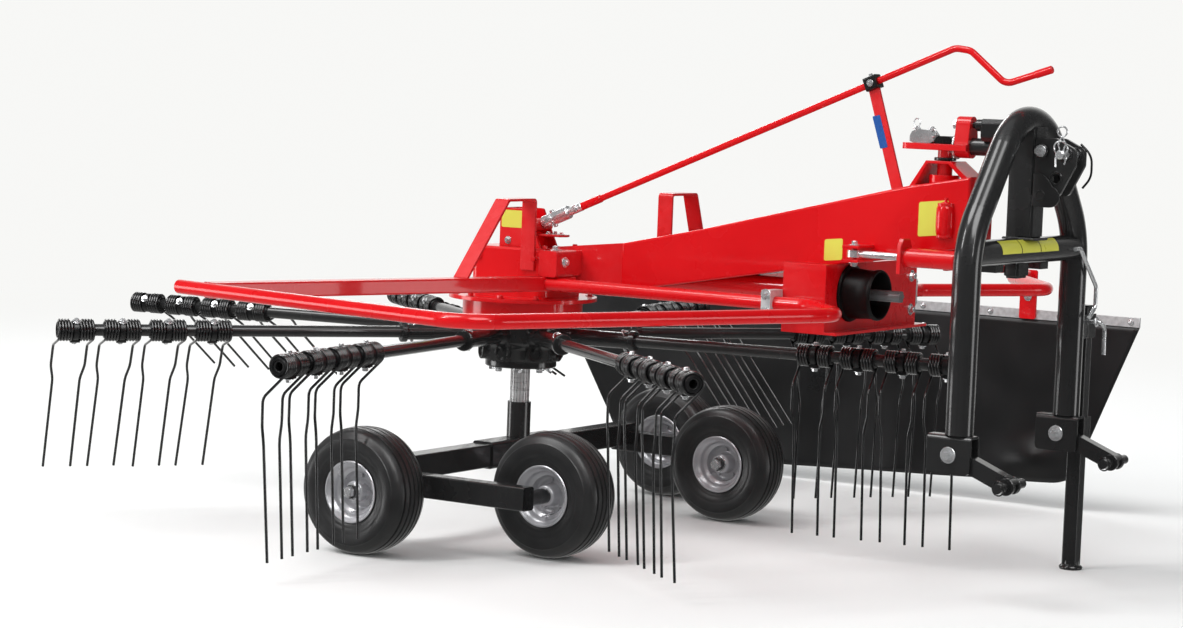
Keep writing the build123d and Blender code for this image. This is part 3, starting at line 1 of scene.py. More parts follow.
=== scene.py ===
"""Looks of a mounted single-rotor rotary rake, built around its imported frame."""

import json
import math
import random

import bmesh
import bpy
from mathutils import Matrix, Vector


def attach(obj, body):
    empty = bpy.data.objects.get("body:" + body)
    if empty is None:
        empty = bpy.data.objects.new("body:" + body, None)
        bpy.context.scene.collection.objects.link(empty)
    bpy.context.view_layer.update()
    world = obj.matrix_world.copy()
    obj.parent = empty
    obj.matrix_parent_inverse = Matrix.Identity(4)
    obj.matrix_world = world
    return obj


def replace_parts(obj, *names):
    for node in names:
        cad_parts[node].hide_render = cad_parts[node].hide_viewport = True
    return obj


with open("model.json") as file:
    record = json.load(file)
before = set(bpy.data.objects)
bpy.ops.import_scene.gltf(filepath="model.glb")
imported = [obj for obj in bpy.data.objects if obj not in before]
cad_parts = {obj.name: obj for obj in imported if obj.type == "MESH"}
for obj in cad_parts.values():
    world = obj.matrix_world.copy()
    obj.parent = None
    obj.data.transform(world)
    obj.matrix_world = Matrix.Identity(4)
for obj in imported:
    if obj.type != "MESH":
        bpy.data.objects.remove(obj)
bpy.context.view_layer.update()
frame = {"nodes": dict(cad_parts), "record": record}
random.seed(7)

X = Vector((1, 0, 0))
Y = Vector((0, 1, 0))
Z = Vector((0, 0, 1))
SIDES = (-1, 1)
NAMED_SIDES = (("right", -1), ("left", 1))

# Main places of the part, in millimetres; places ahead are counted from the rotor's axis
ROTOR_X = -190.0
ROTOR_Z = 594.0
BEAM_HALF = 80.0
PTO_Z = 800.0
PTO_FACE = 1150.0
SWIVEL_AHEAD = 1436.0
ROD_Z = 1302.7
HEAD_AHEAD = 1690.0
CROSSBAR_Z = 958.0
EAR_AHEAD = 1820.0
EAR_Z = 1232.0
EAR_BOLT_AHEAD = 1752.0
HITCH_AHEAD = 1673.0
HITCH_Y = 358.0
HITCH_Z = 413.0
STAND_Y = 450.0
STAND_PIN_Z = 738.0
DAMPER_Y = 150.0
DAMPER_Z = 925.0
CURTAIN_Y = 1540.0


def at(distance, y, z):
    """The point that lies this far ahead of the rotor's axis."""
    return Vector((ROTOR_X + distance, y, z))


def heading(degrees):
    """Level direction at an angle from straight ahead."""
    turn = math.radians(degrees)
    return Vector((math.cos(turn), math.sin(turn), 0))


# Materials
CLOUD_SPAN = (0.3, 0.7)
WORN_SPAN = (0.56, 0.66)
WORN_SCALE = 38.0
LEAST_ROUGH = 0.02
GRAIN_DEPTH = 0.001
EDGE_SAMPLES = 4
# Sockets of a colour mix
MIX_SHARE, MIX_FIRST, MIX_SECOND, MIX_RESULT = 0, 6, 7, 2


def add_node(tree, kind, values=None, sources=None, **settings):
    """A new node with its settings, its own socket values and the outputs that feed it."""
    made = tree.nodes.new(kind)
    for name, setting in settings.items():
        setattr(made, name, setting)
    for socket, value in (values or {}).items():
        made.inputs[socket].default_value = value
    for socket, source in (sources or {}).items():
        tree.links.new(source, made.inputs[socket])
    return made


def material(name, base, rough, metallic=0.0, vary=0.06, cloud_scale=5.0, rough_vary=0.05,
             specular=0.5, grain=0.0, grain_scale=900.0, coat=0.0, coat_rough=0.08,
             stretch=(1, 1, 1), edge=0.0, worn=None):
    """A surface with soft colour clouds, uneven gloss, a fine grain, rounded and worn edges."""
    made = bpy.data.materials.new(name)
    made.use_nodes = True
    tree = made.node_tree
    shader = tree.nodes["Principled BSDF"]
    shader.inputs["Metallic"].default_value = metallic
    shader.inputs["Specular IOR Level"].default_value = specular
    shader.inputs["Coat Weight"].default_value = coat
    shader.inputs["Coat Roughness"].default_value = coat_rough
    place = add_node(tree, "ShaderNodeTexCoord").outputs["Object"]
    spread = add_node(tree, "ShaderNodeMapping", {"Scale": stretch}, {"Vector": place})
    spread = spread.outputs["Vector"]
    cloud = add_node(tree, "ShaderNodeTexNoise", {"Scale": cloud_scale, "Detail": 5.0},
                     {"Vector": spread}).outputs["Fac"]
    tint = add_node(tree, "ShaderNodeValToRGB", sources={"Fac": cloud})
    for stop, position, share in zip(tint.color_ramp.elements, CLOUD_SPAN, (1 - vary, 1 + vary)):
        stop.position = position
        stop.color = [min(1, c * share) for c in base] + [1]
    colour = tint.outputs["Color"]
    if worn:
        shape = add_node(tree, "ShaderNodeNewGeometry")
        rim = add_node(tree, "ShaderNodeMapRange",
                       {"From Min": WORN_SPAN[0], "From Max": WORN_SPAN[1]},
                       {"Value": shape.outputs["Pointiness"]})
        patch = add_node(tree, "ShaderNodeTexNoise", {"Scale": WORN_SCALE, "Detail": 6.0},
                         {"Vector": place})
        patchy = add_node(tree, "ShaderNodeMath", operation="MULTIPLY",
                          sources={0: rim.outputs["Result"], 1: patch.outputs["Fac"]})
        rub = add_node(tree, "ShaderNodeMix", {MIX_SECOND: (*worn, 1)},
                       {MIX_SHARE: patchy.outputs[0], MIX_FIRST: colour}, data_type="RGBA")
        colour = rub.outputs[MIX_RESULT]
    tree.links.new(colour, shader.inputs["Base Color"])
    gloss = add_node(tree, "ShaderNodeMapRange",
                     {"From Min": CLOUD_SPAN[0], "From Max": CLOUD_SPAN[1],
                      "To Min": max(LEAST_ROUGH, rough - rough_vary), "To Max": rough + rough_vary},
                     {"Value": cloud})
    tree.links.new(gloss.outputs["Result"], shader.inputs["Roughness"])
    if grain:
        fine = add_node(tree, "ShaderNodeTexNoise", {"Scale": grain_scale, "Detail": 3.0},
                        {"Vector": spread})
        bump = add_node(tree, "ShaderNodeBump", {"Strength": grain, "Distance": GRAIN_DEPTH},
                        {"Height": fine.outputs["Fac"]})
        if edge:
            rounded = add_node(tree, "ShaderNodeBevel", {"Radius": edge}, samples=EDGE_SAMPLES)
            tree.links.new(rounded.outputs["Normal"], bump.inputs["Normal"])
        tree.links.new(bump.outputs["Normal"], shader.inputs["Normal"])
    return made


RED = material("red_powder_coat", (0.66, 0.0012, 0.0045), 0.28, vary=0.05, specular=0.2, grain=0.03,
               grain_scale=420, coat=0.6, coat_rough=0.05, edge=0.004, worn=(0.72, 0.04, 0.045))
BLACK = material("black_powder_coat", (0.0175, 0.0175, 0.0178), 0.24, vary=0.15, specular=0.3,
                 grain=0.05, grain_scale=520, coat=0.6, coat_rough=0.05, edge=0.004,
                 worn=(0.04, 0.04, 0.04))
SPRING = material("black_spring_steel", (0.013, 0.013, 0.0135), 0.2, vary=0.15, grain=0.03,
                  coat=0.8, coat_rough=0.06)
PLASTIC = material("black_plastic", (0.0075, 0.0075, 0.008), 0.3, vary=0.12, grain=0.1,
                   grain_scale=700)
ZINC = material("zinc_plate", (0.78, 0.79, 0.8), 0.24, metallic=0.75, vary=0.12, cloud_scale=18,
                rough_vary=0.08)
GALVANISED = material("galvanised", (0.62, 0.625, 0.63), 0.4, metallic=0.4, vary=0.16,
                      cloud_scale=60, rough_vary=0.1, edge=0.002, grain=0.05)
STEEL = material("turned_steel", (0.6, 0.6, 0.61), 0.26, metallic=0.55, vary=0.12, cloud_scale=12,
                 stretch=(1, 1, 6))
BRIGHT = material("bright_steel", (0.62, 0.62, 0.62), 0.3, metallic=0.3, vary=0.14, cloud_scale=14,
                  stretch=(1, 1, 8))
SILVER = material("rim_silver", (0.52, 0.52, 0.54), 0.26, metallic=0.4, coat=0.3, grain=0.04)
TYRE = material("tyre_rubber", (0.021, 0.021, 0.0215), 0.36, vary=0.2, cloud_scale=14, grain=0.25,
                grain_scale=650)
SHEET = material("curtain_rubber", (0.012, 0.012, 0.0125), 0.36, vary=0.22, cloud_scale=3.5,
                 rough_vary=0.1, grain=0.2, grain_scale=1100, specular=0.45)
YELLOW = material("yellow_film", (0.72, 0.70, 0.085), 0.32, vary=0.04, coat=0.3)
BLUE = material("blue_film", (0.012, 0.09, 0.36), 0.32, vary=0.05, coat=0.3)
# Near-black used only for discs of painted shade in holes and open ends
HOLE_SHADE = material("painted_hole_shade", (0.004, 0.004, 0.004), 0.7, vary=0.1)
BELL = material("bell_plastic", (0.0035, 0.0035, 0.0037), 0.5, vary=0.15, grain=0.08,
                grain_scale=700, specular=0.25)
# Steel darkened to paint in the shade that falls on the stub inside the bell
STUB_SHADE_STEEL = material("steel_darkened_as_shade", (0.2, 0.2, 0.205), 0.34, metallic=0.45, vary=0.2,
                   cloud_scale=16)

LOOK_OF_SLOT = {
    "red_paint": RED, "black_paint": BLACK, "spring_steel": SPRING, "black_plastic": PLASTIC,
    "zinc": ZINC, "bare_steel": STEEL, "rim_silver": SILVER, "tyre": TYRE, "curtain_sheet": SHEET,
}
for part in frame["record"]["subparts"]:
    node = frame["nodes"][part["node"]]
    node.data.materials.clear()
    node.data.materials.append(LOOK_OF_SLOT[part["material_slot"]])
for name in ("guard_clip", "guard_plate", "curtain_bar"):
    frame["nodes"][name].data.materials[0] = GALVANISED
frame["nodes"]["splined_shaft"].data.materials[0] = BRIGHT


# Shapes
MM = 0.001
WELD = 1e-6
LEAST_RADIUS = 0.01
# Bolt heads, as shares of the width across flats
WASHER_T, WASHER_R, WASHER_EDGE = 0.13, 0.95, 0.03
HEAD_H, CROWN_H, CROWN_LOW_R, CROWN_TOP_R = 0.55, 0.06, 0.46, 0.42


def across(axis):
    """Two unit vectors square to an axis, right-handed with it."""
    axis = Vector(axis).normalized()
    first = axis.cross(Z if abs(axis.z) < 0.9 else X).normalized()
    return first, axis.cross(first).normalized()


def arc(centre, radius, start, end, steps):
    """Points of a flat arc as (a, b), angles in degrees."""
    spots = []
    for k in range(steps + 1):
        turn = math.radians(start + (end - start) * k / steps)
        spots.append((centre[0] + radius * math.cos(turn), centre[1] + radius * math.sin(turn)))
    return spots


def circle(centre, side, up, radius, count):
    """Points round a centre, in the plane of two unit vectors."""
    turns = [2 * math.pi * k / count for k in range(count)]
    return [centre + (side * math.cos(t) + up * math.sin(t)) * radius for t in turns]


def rounded_route(corners, cuts, steps=6):
    """Points along straight runs whose corners are bent, each over its own cut."""
    route = [corners[0]]
    for i, cut in enumerate(cuts, 1):
        toward = (corners[i - 1] - corners[i]).normalized() * cut
        onward = (corners[i + 1] - corners[i]).normalized() * cut
        for k in range(steps + 1):
            share = k / steps
            route.append(corners[i] + toward * (1 - share) ** 2 + onward * share ** 2)
    return route + [corners[-1]]


class Shape:
    """The vertices and faces of one piece, in millimetres."""

    def __init__(self):
        self.points = []
        self.faces = []

    def add(self, points, faces):
        """Take in points and the faces between them."""
        base = len(self.points)
        self.points.extend(Vector(p) for p in points)
        self.faces.extend([base + i for i in face] for face in faces)

    def skin(self, rings, first_cap=True, last_cap=True):
        """A skin over rings of as many points each, with flat caps."""
        sides = len(rings[0])
        faces = []
        for row in range(len(rings) - 1):
            for k in range(sides):
                a = row * sides + k
                b = row * sides + (k + 1) % sides
                faces.append((a, b, b + sides, a + sides))
        last = (len(rings) - 1) * sides
        if first_cap:
            faces.append(tuple(reversed(range(sides))))
        if last_cap:
            faces.append(tuple(range(last, last + sides)))
        self.add([p for ring in rings for p in ring], faces)

    def lathe(self, centre, axis, profile, sides=32):
        """Turn a profile of (along, radius) about an axis; an end off the axis is capped."""
        axis = Vector(axis).normalized()
        side, up = across(axis)
        rings = [circle(Vector(centre) + axis * along, side, up, r, sides) for along, r in profile]
        self.skin(rings, profile[0][1] > 0, profile[-1][1] > 0)

    def ring(self, centre, axis, profile, sides=96):
        """Turn a closed profile of (along, radius) about an axis."""
        axis = Vector(axis).normalized()
        centre = Vector(centre)
        count = len(profile)
        points = []
        faces = []
        for k, out in enumerate(circle(Vector(), *across(axis), 1.0, sides)):
            points.extend(centre + axis * along + out * radius for along, radius in profile)
            n = (k + 1) % sides
            for i in range(count):
                j = (i + 1) % count
                faces.append((k * count + i, k * count + j, n * count + j, n * count + i))
        self.add(points, faces)

    def collar(self, centre, axis, low, high, bore, radius, ease, drop, sides=32):
        """A bored collar between two places along an axis, its outer rims eased off."""
        self.ring(centre, axis, [(low, bore), (low, radius - drop), (low + ease, radius),
                                 (high - ease, radius), (high, radius - drop), (high, bore)], sides)

    def rod(self, start, end, radius, sides=20, edge=0.0):
        """A round rod, with its rims rounded off by edge."""
        run = Vector(end) - Vector(start)
        length = run.length
        rim = max(radius - edge, LEAST_RADIUS)
        profile = [(0, rim), (edge, radius), (length - edge, radius), (length, rim)]
        self.lathe(start, run, profile if edge else [profile[0], profile[-1]], sides)

    def wire(self, route, radius, sides=8):
        """A round wire along points, with flat ends."""
        heads = []
        for i in range(len(route)):
            before = route[i] - route[i - 1] if i else route[1] - route[0]
            after = route[i + 1] - route[i] if i + 1 < len(route) else before
            heads.append((before.normalized() + after.normalized()).normalized())
        side, up = across(heads[0])
        rings = [circle(route[0], side, up, radius, sides)]
        for spot, before, after in zip(route[1:], heads, heads[1:]):
            turn = before.rotation_difference(after)
            side, up = turn @ side, turn @ up
            rings.append(circle(spot, side, up, radius, sides))
        self.skin(rings)

    def loop(self, centre, axis, radius, wire, steps=28, sides=8):
        """A closed ring of wire."""
        section = [(b, radius + a) for a, b in arc((0, 0), wire, 0, 360, sides)[:-1]]
        self.ring(centre, axis, section, steps)

    def slab(self, outline, origin, right, up, depth):
        """A flat plate from an outline, pushed out square to it by depth."""
        origin, right, up = Vector(origin), Vector(right).normalized(), Vector(up).normalized()
        push = right.cross(up).normalized() * depth
        flat = [origin + right * a + up * b for a, b in outline]
        count = len(flat)
        faces = [tuple(reversed(range(count))), tuple(range(count, 2 * count))]
        faces += [(i, (i + 1) % count, count + (i + 1) % count, count + i) for i in range(count)]
        self.add(flat + [p + push for p in flat], faces)

    def bolt(self, seat, axis, flats, washer=True):
        """A hexagon head, flats wide and turned by chance, on a washer."""
        axis = Vector(axis).normalized()
        seat = Vector(seat)
        if washer:
            head = seat + axis * flats * WASHER_T
            self.rod(seat, head, flats * WASHER_R, 24, edge=flats * WASHER_EDGE)
            seat = head
        turn = random.uniform(0, 60)
        side, up = across(axis)
        hexagon = arc((0, 0), flats / math.sqrt(3), turn, turn + 300, 5)
        self.slab(hexagon, seat, side, up, flats * HEAD_H)
        crown_top = flats * CROWN_H
        self.lathe(seat + axis * flats * HEAD_H, axis, [
            (0, flats * CROWN_LOW_R), (crown_top, flats * CROWN_TOP_R), (crown_top, 0.0)], 18)

    def make(self, name, look, body, bevel=0.0, crease=35.0, steps=2):
        """Turn the shape into a piece that rides on a body."""
        mesh = bpy.data.meshes.new(name)
        mesh.from_pydata([p * MM for p in self.points], [], self.faces)
        work = bmesh.new()
        work.from_mesh(mesh)
        bmesh.ops.remove_doubles(work, verts=work.verts, dist=WELD)
        bmesh.ops.recalc_face_normals(work, faces=work.faces)
        if bevel:
            sharp = [e for e in work.edges
                     if len(e.link_faces) == 2 and e.calc_face_angle() > math.radians(crease)]
            bmesh.ops.bevel(work, geom=sharp, offset=bevel * MM, segments=steps, affect="EDGES",
                            clamp_overlap=True)
        work.to_mesh(mesh)
        work.free()
        mesh.polygons.foreach_set("use_smooth", [True] * len(mesh.polygons))
        mesh.set_sharp_from_angle(angle=math.radians(crease))
        mesh.materials.append(look)
        piece = bpy.data.objects.new(name, mesh)
        bpy.context.scene.collection.objects.link(piece)
        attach(piece, body)
        return piece


# Wheels: ribbed implement tyres on pressed rims, with five bolts and a valve
WHEELS = [
    # name, place ahead, side, distance from the middle
    ("rear_right", 41.0, -1, 843.0),
    ("rear_left", 41.0, 1, 843.0),
    ("front_right", 473.0, -1, 501.0),
    ("front_left", 473.0, 1, 501.0),
]
TYRE_R = 185.0
TREAD_HALF = 56.0
CROWN_DROP = 8.0
CROWN_POWER = 2.2
GROOVES = [-40.0, -20.0, 0.0, 20.0, 40.0]
GROOVE_HALF = 3.2
GROOVE_DEPTH = 6.0
LIP = 0.8
LIP_DEPTH = 1.2
RIM_BOLT_R = 43.0
RIM_DISC_HALF = 5.0
# Half sections as (along the axle, radius)
SIDEWALL = [(57, 175.5), (62, 171), (67, 163), (70, 157), (71.6, 154.5), (72.6, 154), (73.6, 149),
            (74, 141), (73.5, 133), (72.2, 125), (71, 122), (71.2, 119.5), (70, 114), (67.5, 107),
            (66, 104.5), (66, 101), (64, 96), (60, 91), (58, 86), (58, 80)]
HALF_RIM = [(58, 80), (58.5, 85), (61, 89), (64.5, 90.5), (66.5, 88.5), (66, 85), (62, 82),
            (57, 79.5), (53, 76), (50, 72.5), (44, 70.5), (38, 69.5), (33, 66), (30, 61), (28, 58),
            (20, 56.5), (12, 55), (7, 52), (5, 48), (5, 40), (7, 34), (14, 31.5), (36, 30.5),
            (44, 30), (47, 28), (48, 25), (48, 16.5)]


def crown(along):
    """Radius of the tread at a distance from the wheel's middle."""
    return TYRE_R - CROWN_DROP * (abs(along) / TREAD_HALF) ** CROWN_POWER


tread = []
for groove in GROOVES:
    near, far = groove - GROOVE_HALF, groove + GROOVE_HALF
    tread += [
        (near - LIP, crown(near)), (near, crown(groove) - LIP_DEPTH),
        (near + LIP, crown(groove) - GROOVE_DEPTH), (far - LIP, crown(groove) - GROOVE_DEPTH),
        (far, crown(groove) - LIP_DEPTH), (far + LIP, crown(far)),
    ]
tyre_profile = [(-a, r) for a, r in reversed(SIDEWALL)] + tread + SIDEWALL
rim_profile = HALF_RIM + [(-a, r) for a, r in reversed(HALF_RIM)]
for name, place, side, out in WHEELS:
    centre = at(place, side * out, TYRE_R)
    body = "wheel_" + name
    tyre = Shape()
    tyre.ring(centre, Y, tyre_profile, 112)
    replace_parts(tyre.make("tyre_look_" + name, TYRE, body, crease=48), "tyre_" + name)
    rim = Shape()
    rim.ring(centre, Y, rim_profile, 96)
    for face in SIDES:
        for a, b in arc((0, 0), RIM_BOLT_R, 20, 308, 4):
            rim.bolt(centre + Vector((a, face * RIM_DISC_HALF, b)), Y * face, 11, washer=False)
    valve = centre + Vector((0, side * 30, -62))
    rim.rod(valve, valve + Vector((0, side * 24, 3)), 4, 12, edge=0.8)
    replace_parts(rim.make("rim_look_" + name, SILVER, body, crease=40), "rim_" + name)

# Axle ends: a washer and a nut on each stub, all on the chassis
WHEEL_HUB_HALF = 48.0
HUB_PLAY = 0.3
for name, place, side, out in WHEELS:
    outward = Y * (side if name.startswith("rear") else -side)
    face = at(place, side * out, TYRE_R) + outward * (WHEEL_HUB_HALF + HUB_PLAY)
    nut = Shape()
    nut.rod(face, face + outward * 4, 25, 32, edge=0.8)
    nut.bolt(face + outward * 14, outward, 30, washer=False)
    nut.make("axle_nut_" + name, ZINC, "frame", bevel=0.6)

# Tine arms: carrier tubes with pairs of wound springs, their sleeves, clamps and bolts
ARM_PHASE = 7.8
ARM_ROLLS = [0, 0, 40, 60, 60, 30, 0, 0]
ARM_STEP = 360 / len(ARM_ROLLS)
ARM_REACH = 1449.0
ARM_R = 18.0
ARM_MOUTH = 90.0
CARRIER_START = 926.0
TINE_PAIRS = 4
PAIR_PITCH = 138.0
COIL_SPREAD = 64.0
COIL_WIDTH = 46.0
TIP_MARGIN = 20.0
WIRE_R = 4.2
WIND_R = 34.0 - WIRE_R
WIND_DEGREES = 4 * 360 + 130
WIND_STEPS = int(WIND_DEGREES / 360 * 24)
WIND_CROWDING = 1.03
CLAMP_HALF = 9.0
CLAMP_R = 31.0
CLAMP_EXIT = 7.0
CLAMP_PAD = [(-15, -16), (15, -16), (15, 16), (-15, 16)]
PAD_DROP, PAD_T = 27.0, 9.0
LOW_SEAT, TOP_SEAT = 36.5, 30.5
SLEEVE_R = 24.2
SLANT = math.radians(45.8)
LEAVE_DEGREES = 180 - 45.8
LEAN = math.radians(3.4)
LEG_SLANT_RUN = 96.0
LEG_DROP = 77.0
LEG_STEP_DOWN, LEG_STEP_ASIDE = 48.0, 10.0
LEG_RUN = 323.0
LEG_BENDS = (15.0, 13.0, 15.0)
MOST_SPLAY = 2.5
MOST_SWAY = 3.0
STEP_SPLAY_SHARE = 0.2


def arm_axes(number):
    """Middle of the rotor and the out, back and down directions of an arm."""
    tilt = math.radians(ARM_ROLLS[number])
    out = heading(ARM_PHASE + number * ARM_STEP)
    trail = out.cross(Z)
    back = trail * math.cos(tilt) + Z * math.sin(tilt)
    return at(0, 0, ROTOR_Z), out, back, trail * math.sin(tilt) - Z * math.cos(tilt)


def spring_route(axes, middle, hand):
    """Wire of one spring: from its clamp to the coil's outer end, then down its leg."""
    base, out, back, down = axes
    coil = middle + hand * COIL_SPREAD / 2
    reach = hand * (COIL_WIDTH / 2 - WIRE_R)

    def wound(along, degrees):
        turn = math.radians(degrees)
        return base + out * along + (back * math.cos(turn) + down * math.sin(turn)) * WIND_R

    route = [wound(middle + hand * CLAMP_EXIT, LEAVE_DEGREES + WIND_DEGREES)]
    for k in range(WIND_STEPS):
        share = k / WIND_STEPS
        along = coil - reach + 2 * reach * min(1.0, share * WIND_CROWDING)
        route.append(wound(along, LEAVE_DEGREES + WIND_DEGREES * (1 - share)))
    leave = wound(coil + reach, LEAVE_DEGREES)
    splay = random.uniform(-MOST_SPLAY, MOST_SPLAY)
    sway = random.uniform(-MOST_SWAY, MOST_SWAY)
    knee = leave + (back * math.sin(SLANT) + down * math.cos(SLANT)) * LEG_SLANT_RUN
    step = knee + down * LEG_DROP + out * splay * STEP_SPLAY_SHARE
    foot = step + down * LEG_STEP_DOWN - out * hand * LEG_STEP_ASIDE
    leg = (down * math.cos(LEAN) - back * math.sin(LEAN)) * LEG_RUN
    tip = foot + leg + out * splay + back * sway
    return route + rounded_route([leave, knee, step, foot, tip], LEG_BENDS, 5)


for number in range(len(ARM_ROLLS)):
    axes = arm_axes(number)
    base, out, back, down = axes
    tube = Shape()
    tube.ring(base, out, [
        (CARRIER_START, ARM_R), (ARM_REACH - 1.5, ARM_R), (ARM_REACH, 17), (ARM_REACH, 12.5),
        (ARM_REACH - ARM_MOUTH, 12), (ARM_REACH - ARM_MOUTH, 1), (CARRIER_START, 1)], 32)
    springs = Shape()
    clamps = Shape()
    bolts = Shape()
    for pair in range(TINE_PAIRS):
        middle = ARM_REACH - COIL_SPREAD / 2 - TIP_MARGIN - pair * PAIR_PITCH
        for hand in SIDES:
            springs.wire(spring_route(axes, middle, hand), WIRE_R)
            coil = middle + hand * COIL_SPREAD / 2
            clamps.collar(base, out, coil - COIL_WIDTH / 2, coil + COIL_WIDTH / 2, ARM_R,
                          SLEEVE_R, 1.5, 1.2)
        clamps.collar(base, out, middle - CLAMP_HALF, middle + CLAMP_HALF, ARM_R, CLAMP_R, 2, 2)
        seat = base + out * middle
        clamps.slab(CLAMP_PAD, seat + down * PAD_DROP, out, back, PAD_T)
        bolts.bolt(seat + down * LOW_SEAT, down, 15)
        bolts.bolt(seat - down * TOP_SEAT, -down, 13)
    piece = tube.make(f"carrier_tube_{number}", BLACK, "rotor")
    if number == 0:
        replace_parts(piece, "tine_carriers")
    springs.make(f"tine_springs_{number}", SPRING, "rotor", crease=60)
    clamps.make(f"tine_clamps_{number}", PLASTIC, "rotor", bevel=0.8)
    bolts.make(f"tine_bolts_{number}", ZINC, "rotor")

# Hub: turned body, arm sockets with collars and ribs, round bosses, bolts and linch pins
HUB_TOP, HUB_BOTTOM = 640.0, 489.0
HUB_PROFILE = [(HUB_TOP, 33), (HUB_TOP, 142), (637, 150), (632, 152), (574, 152), (569, 150),
               (561, 140), (553, 128), (547, 124), (522, 122), (516, 118), (510, 116), (508, 112),
               (492, 112), (HUB_BOTTOM, 109), (HUB_BOTTOM, 33)]
SOCKET = [(120, 12), (120, 25), (376, 25), (376, 30), (378, 32), (393, 32), (395, 30), (395, 12)]
SOCKET_ROOT = [(130, 20), (130, 36), (150, 36), (172, 28), (180, 25), (180, 20)]
SOCKET_RIB = [(120, -60), (168, -24), (168, 24), (120, 40)]
RIB_T = 10.0
BOSS = [(0, 27), (28, 27), (30, 25), (30, 19), (25, 17), (25, 0.0)]
BOSS_OUT, BOSS_DROP = 104.0, 56.0
LOW_BOLT_R, TOP_BOLT_R = 90.0, 128.0
LINCH_PIN_OUT = 358.0
hub = Shape()
hub.ring(at(0, 0, 0), Z, HUB_PROFILE, 96)
hub_bolts = Shape()
pins = Shape()
for number in range(len(ARM_ROLLS)):
    axis = at(0, 0, ROTOR_Z)
    out = heading(ARM_PHASE + number * ARM_STEP)
    trail = out.cross(Z)
    hub.ring(axis, out, SOCKET, 36)
    hub.ring(axis, out, SOCKET_ROOT, 36)
    hub.slab(SOCKET_RIB, axis + trail * RIB_T / 2, out, Z, -RIB_T)
    hub.lathe(axis + out * BOSS_OUT - Z * BOSS_DROP, out, BOSS)
    gap = heading(ARM_PHASE + (number + 0.5) * ARM_STEP)
    hub_bolts.bolt(at(0, 0, HUB_BOTTOM) + gap * LOW_BOLT_R, -Z, 19)
    hub_bolts.bolt(at(0, 0, HUB_TOP) + gap * TOP_BOLT_R, Z, 13)
    seat = axis + out * LINCH_PIN_OUT
    pins.rod(seat - Z * 33, seat + Z * 29, 5, 16, edge=1.2)
    pins.rod(seat + Z * 24, seat + Z * 30, 9, edge=1.5)
    pins.loop(seat + Z * 20 + trail * 4, out + Z * 0.7, 15, 1.8, 32)
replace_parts(hub.make("hub_body", BLACK, "rotor", bevel=1.0), "rotor_hub")
hub_bolts.make("hub_bolts", ZINC, "rotor")
pins.make("arm_pins", ZINC, "rotor")

# Gear housing: bolts on its flange, beside the beam, on its side plates and its lid
FLANGE_BOLT_R = 214.0
FLANGE_TOP = 713.0
FLANGE_CLEAR_HALF = 90.0
SIDE_PLATE_Y = 112.0
LID_TOP = 866.0
gear_bolts = Shape()
for a, b in arc((0, 0), FLANGE_BOLT_R, 15, 345, 11):
    if abs(b) > FLANGE_CLEAR_HALF:
        gear_bolts.bolt(at(a, b, FLANGE_TOP), Z, 15)
for x, z in ((-95, 745), (-95, 835), (60, 745), (115, 835)):
    for side in SIDES:
        gear_bolts.bolt(at(x, side * SIDE_PLATE_Y, z), Y * side, 15)
for y in (-85, 85):
    for x in (-112, 132):
        gear_bolts.bolt(at(x, y, LID_TOP), Z, 15)
gear_bolts.make("gear_bolts", RED, "frame")

# Crank: universal joint, red tab under it, bolts of the bracket and the clip, grip
CRANK_CLIP_SHARE = 0.8
CROSS_HALF = 27.0
TAB_Z, TAB_T = 902.0, 7.0
TAB = [(58, -34), (150, -26), (158, 0), (150, 26), (58, 34)]
BRACKET_HALF = 50.0
CLIP_HALF = 20.0
crank_foot = at(168, 0, 984)
crank_run = at(1452, 0, 1518) - crank_foot
crank_dir = crank_run.normalized()
crank_up = Vector((-crank_dir.z, 0, crank_dir.x))
joint = Shape()
for start, end, radius, sides, edge in (
    (-62, -6, 21, 28, 2), (-6, 46, 13.5, 24, 1.5), (-106, -74, 20, 28, 2),
):
    joint.rod(crank_foot + crank_dir * start, crank_foot + crank_dir * end, radius, sides, edge)
cross = crank_foot - crank_dir * 68
for arm in (Y * CROSS_HALF, crank_up * CROSS_HALF):
    joint.rod(cross - arm, cross + arm, 7, 16, edge=1)
joint.bolt(crank_foot + crank_dir * 24 - Y * 12, -Y, 12)
joint.make("crank_universal_joint", ZINC, "frame", bevel=0.6)
tab = Shape()
tab.rod(crank_foot + crank_dir * 44, crank_foot + crank_dir * 120, 12.5, 24, edge=1.5)
tab.slab(TAB, at(0, 0, TAB_Z), X, Y, TAB_T)
tab.make("crank_tab", RED, "frame", bevel=1.2)
bracket_bolts = Shape()
for x in (-30, 40):
    for side in SIDES:
        bracket_bolts.bolt(at(x, side * BRACKET_HALF, 884), Y * side, 13)
for x, y in ((100, -20), (100, 20), (136, 0)):
    bracket_bolts.bolt(at(x, y, TAB_Z + TAB_T), Z, 11)
for side in SIDES:
    bracket_bolts.bolt(crank_foot - crank_dir * 130 + Y * side * BRACKET_HALF, Y * side, 20)
bracket_bolts.make("bracket_bolts", ZINC, "frame")
clip_bolts = Shape()
for way in (-Y, Y, crank_up):
    clip_bolts.bolt(crank_foot + crank_run * CRANK_CLIP_SHARE + way * CLIP_HALF, way, 11)
clip_bolts.make("clip_bolts", ZINC, "frame")
grip = Shape()
grip.rod(at(1700, 0, 1449.6), at(1752, 0, 1466.7), 11.4, 24, edge=3)
grip.make("crank_grip", RED, "frame")

